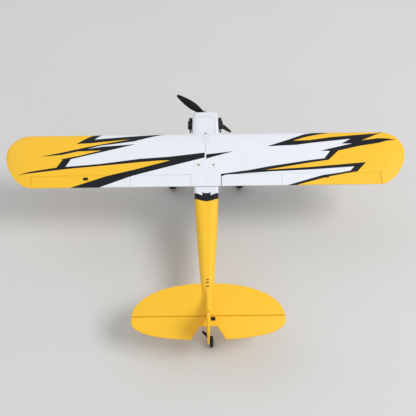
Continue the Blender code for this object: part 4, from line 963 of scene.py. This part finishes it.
def cowl():
    # y, width and height against the rear edge's
    outer = [
        (COWL_REAR, 0.996, 0.996), (0.1463, 1.0, 1.0), (0.149, 0.997, 0.995), (0.152, 0.992, 0.988),
        (0.156, 0.984, 0.976), (0.16, 0.975, 0.962), (0.1628, 0.967, 0.947), (0.165, 0.957, 0.93),
        (0.1665, 0.948, 0.913), (0.1677, 0.934, 0.889), (0.1683, 0.92, 0.866), (COWL_FRONT, 0.902, 0.838),
        (0.1684, 0.88, 0.806), (0.1682, 0.72, 0.63), (0.1678, 0.64, 0.525), (0.1669, 0.624, 0.505),
        (0.166, 0.618, 0.498)
    ]
    inner = [
        (0.1654, 0.624, 0.506), (0.1658, 0.72, 0.63), (0.1658, 0.875, 0.8), (0.1645, 0.905, 0.855),
        (0.162, 0.922, 0.893), (0.158, 0.934, 0.922), (0.152, 0.948, 0.944), (COWL_REAR, 0.955, 0.955)
    ]
    mesh = bare_mesh(loft([cowl_ring(*row) for row in outer + inner], ends_meet=True), "nose_cowl")
    add("cowl_shell", mesh, "airframe", ["white_plastic"], ["nose_cowl"], smooth=30)
    head = [(0, -0.0008), (0.0024, -0.0008), (0.0024, 0.0004), (0.0016, 0.0012), (0, 0.0014)]
    screws = []
    for side in (-1, 1):
        for z in (0.018, -0.045):
            screws.append((turned(head, (side * 0.0443, 0.1498, z), (side, 0, 0), 20), 0))
    add("cowl_screws", finish_parts("cowl_screws", screws), "airframe", ["steel"])


cowl()


def engine_side(side, name):
    """Two finned cylinders with rocker covers, push rod tubes and an exhaust stub on a moulded plate."""
    out = (side, 0, 0)
    plate = rounded_box((0.115, -0.018), (0.155, 0.022), 0.006)
    parts = [(prism(plate, "X", *span(side, 0.0466, 0.0498)), 0)]
    for y in (0.1252, 0.145):
        profile = [(0, 0.0), (0.0084, 0.0)]
        for k in range(5):
            foot = 0.0012 + 0.0022 * k
            wide = 0.0097 - 0.0003 * k
            profile += [(0.0077, foot), (wide, foot + 0.0001), (wide, foot + 0.001), (0.0077, foot + 0.0011)]
        profile += [(0.0082, 0.012), (0.0076, 0.0134), (0.0056, 0.0144), (0, 0.0147)]
        parts.append((turned(profile, (side * 0.049, y, 0.004), out, 40), 0))
        cover = [(0, 0), (0.003, 0), (0.003, 0.002), (0.0022, 0.003), (0, 0.0032)]
        for z in (-0.0035, 0.0115):
            parts.append((turned(cover, (side * 0.0598, y, z), out, 20), 0))
        rod = tube([(side * 0.05, y - 0.0098, -0.004), (side * 0.06, y - 0.0065, 0.001)], 0.0011, 12)
        bolt = [(0, 0), (0.0021, 0), (0.0021, 0.001), (0, 0.0013)]
        parts.append((rod, 1))
        # The bolt heads are bright alloy on the right side and grey plastic on the left: a painted highlight on
        # the side the key light falls on.
        parts.append((turned(bolt, (side * 0.0618, y, 0.004), out, 6), 1 if side > 0 else 0))
    pipe = [(0.05, 0.15, -0.0135), (0.0545, 0.146, -0.015), (0.0545, 0.124, -0.015)]
    pipe.append((0.056, 0.118, -0.0172))
    parts.append((tube([(side * x, y, z) for x, y, z in pipe], 0.0028), 0))
    brow = rounded_box((0.115, 0.0195), (0.155, 0.0215), 0.0009, 3)
    parts.append((prism(brow, "X", *span(side, 0.0486, 0.059)), 0))
    mesh = finish_parts(f"cylinders_{name}", parts)
    looks, nodes = ["grey_plastic", "bright"], [f"cylinders_{name}"]
    add(f"engine_side_{name}", mesh, "airframe", looks, nodes, smooth=35)


for wing_side, wing_name in SIDES:
    engine_side(wing_side, wing_name)


def blade_rings(direction, across):
    """Twisted airfoil sections from the hub outwards."""
    axis = Vector(FORWARD)
    # share of the blade, chord, thickness against the chord
    shape = (
        (0.0, 0.014, 0.34), (0.08, 0.0155, 0.29), (0.16, 0.0185, 0.21), (0.26, 0.024, 0.155),
        (0.38, 0.0285, 0.12), (0.5, 0.0292, 0.1), (0.62, 0.0276, 0.09), (0.74, 0.0236, 0.085),
        (0.85, 0.0188, 0.08), (0.93, 0.0138, 0.08), (0.97, 0.01, 0.08), (0.99, 0.0066, 0.08),
        (1.0, 0.003, 0.1)
    )
    rings = []
    for share, chord, thick in shape:
        radius = 0.006 + share * (PROP_RADIUS - 0.006)
        pitch = min(math.atan(PROP_PITCH / (math.tau * max(radius, 0.018))), math.radians(36))
        forward = across * math.cos(pitch) + axis * math.sin(pitch)
        up = axis * math.cos(pitch) - across * math.sin(pitch)
        centre = Vector((0, PROP_Y, 0)) + direction * radius
        ring = []
        for along, lift in circle(28):
            belly = 1.15 if lift > 0 else 0.75
            height = 0.5 * thick * chord * lift * belly * (0.82 + 0.18 * along)
            ring.append(centre + forward * (0.5 * chord * along) + up * height)
        rings.append(ring)
    return rings


def propeller():
    angle = math.radians(PROP_ANGLE)
    first = Vector((-math.cos(angle), 0, math.sin(angle)))
    parts = []
    for direction in (first, -first):
        parts.append((loft(blade_rings(direction, Vector((direction.z, 0, -direction.x)))), 0))
    bore = tube([(0, PROP_Y - 0.03, 0), (0, PROP_Y + 0.03, 0)], 0.0039, 40)
    whole = bmesh.new()
    whole.from_mesh(carve(finish_parts("blades", parts), [bore], "blades"))
    hub = [(0.0039, -0.0045), (0.009, -0.0045), (0.0095, -0.0038), (0.0095, 0.0038), (0.0088, 0.0045)]
    merge(whole, turned([*hub, (0.0039, 0.0045)], (0, PROP_Y, 0), FORWARD), 0)
    mesh = mesh_from(whole, "propeller")
    add("propeller_blades", mesh, "propeller", ["black_plastic"], ["propeller"], smooth=50)
    base, hub_rear, hub_front = 0.1139, PROP_Y - 0.0045, PROP_Y + 0.0045
    front = base + 0.036
    shaft_profile = [
        (0, front - 0.004), (0.003, front - 0.004), (0.003, front + 0.001), (0.0058, front + 0.003),
        (0.006, hub_rear - 0.0045), (0.0086, hub_rear - 0.0036), (0.009, hub_rear - 0.003),
        (0.009, hub_rear - 0.0006), (0.0087, hub_rear - GAP), (0.0035, hub_rear - GAP),
        (0.0035, hub_front + GAP), (0.0068, hub_front + GAP), (0.007, hub_front + 0.0012),
        (0.0034, hub_front + 0.0014), (0.003, 0.2085), (0.0024, 0.211), (0, 0.211)
    ]
    nut = [(0, 0), (0.0066, 0), (0.0069, 0.0004), (0.0069, 0.0046), (0.0058, 0.0052), (0, 0.0052)]
    dome = [(0, 0), (0.0052, 0), (0.0046, 0.0012), (0.0034, 0.0024), (0, 0.003)]
    parts = [
        (turned(shaft_profile, (0, 0, 0), FORWARD, 40), 0),
        (turned(nut, (0, hub_front + 0.0016, 0), FORWARD, 6), 0),
        (turned(dome, (0, hub_front + 0.0068, 0), FORWARD, 32), 0),
    ]
    mesh = finish_parts("prop_shaft", parts)
    add("prop_shaft", mesh, "propeller", ["bright"], ["prop_adapter"], smooth=30)


propeller()

# ---- tail ----------------------------------------------------------------------------------------


def soft_slab(name, outline, half_thick, edges, put, levels=9):
    """A flat foam panel whose edges are rounded, inset by edges at its two faces."""
    rings = []
    for k in range(levels):
        t = math.sin(math.pi * (k / (levels - 1) - 0.5))
        back = 1.0 - math.sqrt(max(1.0 - t * t, 0.0))
        amounts = [e * back for e in edges] if isinstance(edges, list) else edges * back
        rings.append([put(a, b, t * half_thick) for a, b in inset(outline, amounts)])
    return bare_mesh(loft(rings), name)


def stabilizer():
    depth = STAB_LE - TAIL_WIDEST_Y
    power = 2.0 / 2.2
    limit = math.degrees(math.asin(((ELEVATOR_HINGE_Y - TAIL_WIDEST_Y) / depth) ** (1 / power)))

    def curve(a):
        across = math.copysign(abs(math.cos(a)) ** power, math.cos(a))
        return STAB_HALF * across, TAIL_WIDEST_Y + depth * math.sin(a) ** power

    outline = arc_points(limit, 180 - limit, 71, curve)
    edges = [0.0028] * len(outline)
    edges[0] = edges[-1] = 0.0006
    mesh = soft_slab("stabilizer", outline, STAB_THICK, edges, lambda a, b, t: (a, b, STAB_Z + t))
    add("stabilizer_panel", mesh, "airframe", ["yellow_foam"], ["stabilizer"], smooth=35)


def elevator():
    depth = TAIL_WIDEST_Y - ELEVATOR_TE
    hinge = ELEVATOR_HINGE_Y - 1.5 * GAP
    power = 2.0 / 2.45
    right = [(HINGE_END_X, hinge), (STAB_HALF - 0.0012, hinge - 0.0015)]
    right += arc_points(
        0, 77, 31, lambda a: (STAB_HALF * math.cos(a) ** power, TAIL_WIDEST_Y - depth * math.sin(a) ** power)
    )
    right += [(NOTCH_OUT, ELEVATOR_TE), (NOTCH_IN, BRIDGE_TE)]
    outline = right + [(-x, y) for x, y in reversed(right)]
    edges = [0.003] * len(outline)

    def thinner(y):
        return 1.0 - 0.45 * min(max((hinge - 0.012 - y) / (hinge - 0.012 - ELEVATOR_TE), 0.0), 1.0)

    mesh = soft_slab("elevator", outline, STAB_THICK, edges, lambda a, b, t: (a, b, STAB_Z + t * thinner(b)))
    x = ELEVATOR_LINK_X
    slit = block((x - 0.0029, ELEVATOR_HINGE_Y - 0.0124, 0.0), (x + 0.0029, ELEVATOR_HINGE_Y - 0.0076, 0.06))
    mesh = carve(mesh, [slit])
    add("elevator_panel", mesh, "elevator", ["yellow_foam"], ["elevator"], smooth=35)


def fin():
    rear = RUDDER_HINGE_Y + 0.0021
    outline = [(rear, 0.053), (ELEVATOR_HINGE_Y + 0.0026, 0.041), (-0.575, 0.0424), (-0.512, 0.045)]

    def leading_edge(a):
        rise = (FIN_TOP - 0.045) * (1 - math.cos(a) ** 1.1)
        return -0.512 + (rear + 0.512) * math.sin(a) ** 1.15, 0.045 + rise

    outline += arc_points(0, 90, 26, leading_edge)[1:]
    edges = [0.0018, 0.0006, 0.0004, 0.0]
    edges += [min(0.003, 0.3 * (b - 0.045 - 0.041 * (a + 0.512)), 0.4 * (a - rear)) for a, b in outline[4:]]
    mesh = soft_slab("fin", outline, FIN_THICK, edges, lambda a, b, t: (t, a, b))
    add("fin_panel", mesh, "airframe", ["yellow_foam"], ["fin"], smooth=35)


def rudder():
    front = RUDDER_HINGE_Y - GAP
    curve = [(-0.644, FIN_TOP), (-0.656, 0.1475), (-0.671, 0.137), (-0.682, 0.118), (-0.6868, 0.095)]
    curve += [(RUDDER_TE, 0.07), (-0.6872, 0.045), (-0.6835, 0.018), (-0.677, -0.008)]
    path = []
    for i in range(len(curve) - 1):
        p0, p1, p2, p3 = (Vector(curve[max(0, min(i + k, len(curve) - 1))]) for k in (-1, 0, 1, 2))
        for t in (0.0, 0.25, 0.5, 0.75):
            bend = (2 * p0 - 5 * p1 + 4 * p2 - p3) * t**2 + (3 * p1 - p0 - 3 * p2 + p3) * t**3
            path.append(0.5 * (2 * p1 + (p2 - p0) * t + bend))
    path = [(max(a, RUDDER_TE), min(b, FIN_TOP)) for a, b in path]
    outline = [(front, RUDDER_BOTTOM), (front, FIN_TOP), *path, (-0.677, -0.008), (-0.6755, -0.012)]
    outline.append((-0.672, RUDDER_BOTTOM))
    edges = [0.0026] * 2 + [0.003] * (len(outline) - 2)

    def slim(y):
        return 1.0 - 0.6 * (front - y) / (front - RUDDER_TE)

    mesh = soft_slab("rudder", outline, FIN_THICK, edges, lambda a, b, t: (t * slim(a), a, b))
    add("rudder_panel", mesh, "rudder", ["yellow_foam"], ["rudder"], smooth=35)


for build in (stabilizer, elevator, fin, rudder):
    build()


def fin_fillet():
    """The low ridge that leads up to the fin, with three dark chevrons."""
    rings = []
    for share in (0.0, 0.04, 0.1, 0.18, 0.27, 0.37, 0.48, 0.6, 0.74, 0.88, 1.0):
        y = -0.4935 - 0.0345 * share
        half, rise = 0.005 * min(share / 0.1, 1.0) ** 0.5 + 0.0005, 0.0034 * share**0.6 + 0.0003
        crown = station_at(y)[2]
        ring = [(half, y, crown - 0.003), (half, y, crown - 0.001)]
        for k in range(1, 12):
            a = math.pi * k / 12
            ring.append((half * math.cos(a), y, crown - 0.001 + (rise + 0.001) * math.sin(a)))
        rings.append([*ring, (-half, y, crown - 0.001), (-half, y, crown - 0.003)])
    bm = loft(rings)
    for y, deep in ((-0.4962, 0.002), (-0.5052, 0.0024), (-0.5175, 0.002)):
        mark = [(0, y), (0.0042, y - deep), (0.0042, y - deep - 0.0032), (0, y - 0.0036)]
        mark += [(-0.0042, y - deep - 0.0032), (-0.0042, y - deep)]
        project_paint(bm, mark, FROM_ABOVE, lambda face: True, 1)
    mesh = bare_mesh(bm, "fin_fillet")
    add("fin_fillet", mesh, "airframe", ["yellow_foam", "black_film"], smooth=50)


fin_fillet()

# ---- wheels and gear -----------------------------------------------------------------------------


def main_wheel(side, name):
    centre = (side * WHEEL_X, AXLE_Y, AXLE_Z)
    tyre = [
        (HUB_RADIUS + GAP, 0.0085), (0.0228, 0.0103), (0.0246, 0.0119), (0.027, 0.0131), (0.03, 0.0138),
        (0.0325, 0.014), (0.0352, 0.0137), (0.0376, 0.0128), (0.0395, 0.0113), (0.0409, 0.0095),
        (0.0419, 0.0076), (0.041, 0.0073), (0.041, 0.0063), (0.0424, 0.006), (0.04285, 0.0036),
        (0.0419, 0.0033), (0.0419, 0.0023), (0.043, 0.002), (0.043, 0.0)
    ]
    mesh = bare_mesh(wheel_like(tyre, centre, 72), "tyre")
    add(f"tyre_{name}", mesh, f"wheel_{name}", ["rubber"], [f"wheel_tyre_{name}"], smooth=45)
    hub = [
        (AXLE_RADIUS + GAP, -0.013), (0.0052, -0.013), (0.006, -0.0122), (0.0062, -0.008),
        (0.0072, -0.0064), (0.015, -0.0056), (0.0168, -0.0062), (0.0182, -0.0085), (0.0188, -0.0095),
        (0.0206, -0.0095), (HUB_RADIUS, -0.0088)
    ]
    holes = []
    for cosine, sine in circle(6):
        y, z = centre[1] + 0.0112 * cosine, centre[2] + 0.0112 * sine
        holes.append(tube([(centre[0] - 0.02, y, z), (centre[0] + 0.02, y, z)], 0.003, 24))
    mesh = carve(bare_mesh(wheel_like(hub, centre, 60), "hub"), holes, "hub")
    nodes = [f"wheel_hub_{name}"]
    add(f"hub_{name}", mesh, f"wheel_{name}", ["white_plastic"], nodes, smooth=35)


for wing_side, wing_name in SIDES:
    main_wheel(wing_side, wing_name)


def tail_wheel():
    tyre = [
        (0.0016, 0.005), (0.004, 0.005), (0.005, 0.004), (0.01, 0.0036), (0.0112, 0.0046),
        (0.0128, 0.0055), (0.0142, 0.0055), (0.0158, 0.0048), (0.0169, 0.0032), (TAIL_WHEEL_RADIUS, 0.0012)
    ]
    mesh = bare_mesh(wheel_like(tyre, (TAIL_WHEEL_X, TAIL_AXLE_Y, TAIL_AXLE_Z), 48), "tailwheel")
    add("tail_tyre", mesh, "tailwheel", ["rubber"], ["tailwheel"], smooth=45)
    y, axle = RUDDER_HINGE_Y, (TAIL_AXLE_Y, TAIL_AXLE_Z)
    top = RUDDER_BOTTOM - 0.0017
    path = [(0, y - 0.024, top), (0, y - 0.0022, top), (0, y - 0.0006, top - 0.0008), (0, y, top - 0.0024)]
    path += [(0, y, -0.062), (0, axle[0], axle[1] + 0.003), (0.0008, axle[0], axle[1] + 0.0008)]
    path += [(0.0026, *axle), (TAIL_WHEEL_X + 0.0085, *axle)]
    coil = []
    for k, (cosine, sine) in enumerate(circle(12, 61)):
        coil.append((0.0019 * cosine, y + 0.0019 * sine, -0.04 - 0.0023 * k / 12))
    end = TAIL_WHEEL_X + 0.006
    collar = [(0, end), (0.0026, end), (0.0029, end + 0.0003), (0.0029, end + 0.0021), (0.0026, end + 0.0024)]
    collar.append((0, end + 0.0024))
    parts = [(tube(path, 0.0011), 0), (tube(coil, 0.0008, 8), 0)]
    parts.append((turned(collar, (0, *axle), (1, 0, 0), 32), 1))
    mesh = finish_parts("tail_fork", parts)
    looks = ["dark_steel", "bright"]
    add("tail_fork", mesh, "tail_steering", looks, ["tailwheel_fork"], smooth=50)


tail_wheel()


def strut_leg(foot, head, side):
    rings = []
    foot, head = Vector(foot), Vector(head)
    for share in (0.0, 0.02, 0.06, 0.94, 0.98, 1.0):
        x, y, z = foot.lerp(head, share)
        full = 0.72 + 0.28 * min(share, 1 - share, 0.06) / 0.06
        rings.append([(side * x, y + 0.0062 * full * c, z + 0.0026 * full * s) for c, s in circle(24)])
    return loft(rings)


def wing_strut(side, name):
    foot, front_top, rear_top = (0.05, 0.006, -0.048), (0.33, -0.022, 0.0895), (0.33, -0.13, 0.088)
    parts = [(strut_leg(foot, front_top, side), 0), (strut_leg((0.05, 0.001, -0.048), rear_top, side), 0)]
    lug = rounded_box((-0.008, -0.053), (0.014, -0.043), 0.002, 4)
    parts.append((prism(lug, "X", *span(side, 0.0468, 0.054)), 0))
    for y in (-0.004, 0.01):
        parts.append((screw_head((side * 0.054, y, -0.048), (side, 0, 0), 0.002, 0.0007, 0.001), 1))
    for x, y, _ in (front_top, rear_top):
        ends = (WING_LE - y + 0.009, WING_LE - y - 0.009)
        ceiling = min(section_height(end / CHORD, False) for end in ends) - 0.0008
        x0, x1 = span(side, x - 0.012, x + 0.006)
        pad = rounded_box((x0, y - 0.009), (x1, y + 0.009), 0.003, 4)
        parts.append((prism(pad, "Z", ceiling - 0.0026, ceiling), 0))
        mid = side * (x - 0.003)
        low, high = (mid - 0.0065, y - 0.005, ceiling - 0.0075), (mid + 0.0065, y + 0.005, ceiling - 0.002)
        parts.append((block(low, high), 0))
        for step in (-0.0068, 0.0068):
            place = (mid, y + step, ceiling - 0.0026)
            parts.append((screw_head(place, (0, 0, -1), 0.0017, 0.0006, 0.0009), 1))
    mesh = finish_parts(f"strut_{name}", parts)
    looks, nodes = ["white_plastic", "steel"], [f"wing_strut_{name}"]
    add(f"strut_{name}", mesh, "airframe", looks, nodes, smooth=40)


PLATE_TOP = -0.0668
LEG_TOP = PLATE_TOP - 0.002
FRONT_ROOT = Vector((0.034, 0.046, LEG_TOP))
REAR_ROOT = Vector((0.034, -0.028, LEG_TOP))
LEG_END = Vector((0.106, AXLE_Y, AXLE_Z + 0.004))


def mirrored(side, points):
    return [(side * x, y, z) for x, y, z in points]


def gear_spring(side):
    """The coil on the strut, between its two cups."""
    spring_a, spring_b = Vector((0.052, 0.0137, -0.098)), Vector((0.082, 0.0183, -0.1352))
    along = (spring_b - spring_a).normalized()
    u = along.orthogonal().normalized()
    v = along.cross(u)
    turns, steps = 8, 14
    coil = []
    for k, (cosine, sine) in enumerate(circle(steps, turns * steps + 1)):
        spot = spring_a.lerp(spring_b, k / (turns * steps))
        coil.append(spot + 0.0039 * (cosine * u + sine * v))
    parts = [(tube(mirrored(side, coil), 0.0009, 8), 0)]
    for spot, reach in ((spring_a, -0.0022), (spring_b, 0.0022)):
        parts.append((tube(mirrored(side, [spot, spot + along * reach]), 0.0048, 24), 0))
    return parts


def gear_wire(side, name):
    """Wire legs, a sprung strut, the plate that holds them, and the axle with its collars."""
    parts = [(tube(mirrored(side, [root, LEG_END]), 0.0024, 20), 0) for root in (FRONT_ROOT, REAR_ROOT)]
    parts.append((tube(mirrored(side, [(0.028, 0.01, LEG_TOP), LEG_END]), 0.0016), 0))
    parts += gear_spring(side)
    x0, x1 = span(side, 0.024, 0.0385)
    plate = rounded_box((x0, -0.036), (x1, 0.054), 0.003, 4)
    parts.append((prism(plate, "Z", PLATE_TOP - 0.003, PLATE_TOP), 0))
    for y in (-0.018, 0.036):
        place = (side * 0.0345, y, PLATE_TOP - 0.003)
        parts.append((screw_head(place, (0, 0, -1), 0.0026, 0.0008, 0.0012), 1))
    axle = [
        (0, 0.1), (0.0036, 0.1), (0.004, 0.1004), (0.004, 0.1101), (0.0036, 0.1105),
        (AXLE_RADIUS, 0.1112), (AXLE_RADIUS, 0.1425), (0.0037, 0.143), (0.004, 0.1434), (0.004, 0.1461),
        (0.0037, 0.1465), (0, 0.1465)
    ]
    parts.append((turned(axle, (0, AXLE_Y, AXLE_Z), (side, 0, 0), 32), 0))
    mesh = finish_parts(f"gear_{name}", parts)
    looks, nodes = ["steel", "bright"], [f"landing_gear_{name}"]
    add(f"gear_wire_{name}", mesh, "airframe", looks, nodes, smooth=45)


def gear_fairing(side, name):
    """The foam triangle between the legs."""
    forward = Vector(FORWARD)
    down = (LEG_END - (FRONT_ROOT + REAR_ROOT) / 2).normalized()
    normal = down.cross(forward).normalized()
    down = forward.cross(normal).normalized()
    down = -down if down.z > 0 else down
    corners = [FRONT_ROOT + down * 0.006, REAR_ROOT + down * 0.006, LEG_END - down * 0.016]
    flat = [((corner - FRONT_ROOT).dot(forward), (corner - FRONT_ROOT).dot(down)) for corner in corners]
    flat = rounded_outline(inset(flat, 0.0034), 0.003)

    def place(a, b, t):
        x, y, z = FRONT_ROOT + forward * a + down * b + normal * (t + 0.0052)
        return side * x, y, z

    mesh = soft_slab("fairing", flat, 0.0011, 0.0008, place, 7)
    nodes = [f"gear_fairing_{name}"]
    add(f"fairing_{name}", mesh, "airframe", ["yellow_foam"], nodes, smooth=40)


for wing_side, wing_name in SIDES:
    wing_strut(wing_side, wing_name)
    gear_wire(wing_side, wing_name)
    gear_fairing(wing_side, wing_name)


BOLT_HEADS = [Vector((side * BOLT_X, BOLT_Y, BOLT_HEAD_Z)) for side, _ in SIDES]


def joint_tape():
    """The clear tape over the front of the wing joint."""
    tape = []
    for k in range(14):
        y = WING_LE - 0.0008 - 0.05 * (k / 13) ** 1.6
        low, high = wing_top(0.002, y) - 0.0003, wing_top(0.002, y) + 0.00015
        tape.append([(-0.013, y, low), (0.013, y, low), (0.013, y, high), (-0.013, y, high)])
    add("joint_tape", bare_mesh(loft(tape), "joint_tape"), "airframe", ["tape"])


def bolt_plate():
    plate = rounded_box((-0.0375, -0.137), (0.0375, -0.113), 0.003, 5)
    rings = []
    for lift, back in ((-0.0006, 0.0), (0.0006, 0.0), (0.0009, 0.0004)):
        rings.append([(a, b, wing_top(0.002, b) + lift) for a, b in inset(plate, back)])
    holes = [tube([head, (head.x, head.y, 0.14)], 0.0043, 32) for head in BOLT_HEADS]
    mesh = carve(bare_mesh(loft(rings), "bolt_plate"), holes, "bolt_plate")
    add("bolt_plate", mesh, "airframe", ["white_plastic"], smooth=30)


def wing_bolts():
    bolt = [
        (0, -0.03), (0.0019, -0.03), (0.0019, GAP), (0.0034, GAP), (0.0036, 0.0006), (0.0036, 0.002),
        (0.0031, 0.0027), (0, 0.0028)
    ]
    socket = [(0, 0.0012), (0.0015, 0.0012), (0.0015, 0.004), (0, 0.004)]
    for (_, name), head in zip(SIDES, BOLT_HEADS):
        mesh = carve(bare_mesh(turned(bolt, head, UP, 32), "bolt"), [turned(socket, head, UP, 6)], "bolt")
        add(f"bolt_{name}", mesh, "airframe", ["brass"], [f"wing_bolt_{name}"], smooth=30)


for build in (joint_tape, bolt_plate, wing_bolts):
    build()

# ---- carried-over CAD nodes ----------------------------------------------------------------------

SLOT_OF = {row["node"]: row["material_slot"] for row in frame["record"]["subparts"]}
for node_name, node in frame["nodes"].items():
    node.data.shade_smooth()
    node.data.set_sharp_from_angle(angle=math.radians(32))
    node.data.materials.clear()
    node.data.materials.append(LOOKS[SLOT_OF[node_name]])

# ---- stage ---------------------------------------------------------------------------------------

SKY_COLOUR, SKY_STRENGTH = (0.94, 0.97, 1.0, 1.0), 0.64
LAMPS = (("key", (5.6, -2.2, 7.2), 3.6, 418.0), ("fill", (-5.5, 3.6, 6.0), 5.0, 58.0))  # place, size, watts
LENS_MM = 46.48
# the camera in the airframe's axes
CAMERA_PLACE = (-0.00537, -1.16672, 1.49784)
CAMERA_RIGHT, CAMERA_UP = (0.9999, -0.014, -0.00209), (0.01295, 0.8452, 0.53429)


def stage():
    bm = bmesh.new()
    bmesh.ops.create_grid(bm, x_segments=1, y_segments=1, size=6.0)
    mesh = mesh_from(bm, "floor")
    floor = into_scene("floor", mesh)
    look = Look("floor_paint", srgb(214, 213, 211), 0.8, spread=0.01, scale=2.0)
    mesh.materials.append(look.material)

    world = bpy.data.worlds.new("studio")
    bpy.context.scene.world = world
    bpy.context.scene.view_settings.view_transform = "Standard"
    world.use_nodes = True
    sky = world.node_tree.nodes["Background"]
    sky.inputs["Color"].default_value, sky.inputs["Strength"].default_value = SKY_COLOUR, SKY_STRENGTH
    for name, place, size, power in LAMPS:
        lamp = bpy.data.lights.new(name, "AREA")
        lamp.shape, lamp.size, lamp.energy = "SQUARE", size, power
        holder = into_scene(name, lamp)
        holder.location = place
        holder.rotation_euler = (Vector(place) * -1).to_track_quat("-Z", "Y").to_euler()

    camera_data = bpy.data.cameras.new("camera")
    camera_data.sensor_width = 36.0
    camera_data.lens = LENS_MM
    camera = into_scene("camera", camera_data)
    right = Vector(CAMERA_RIGHT)
    back = right.cross(Vector(CAMERA_UP)).normalized()
    up = back.cross(right).normalized()
    turn = Matrix((right, up, back)).transposed().to_4x4()
    camera.matrix_world = AIRFRAME @ Matrix.Translation(CAMERA_PLACE) @ turn
    bpy.context.scene.camera = camera


stage()
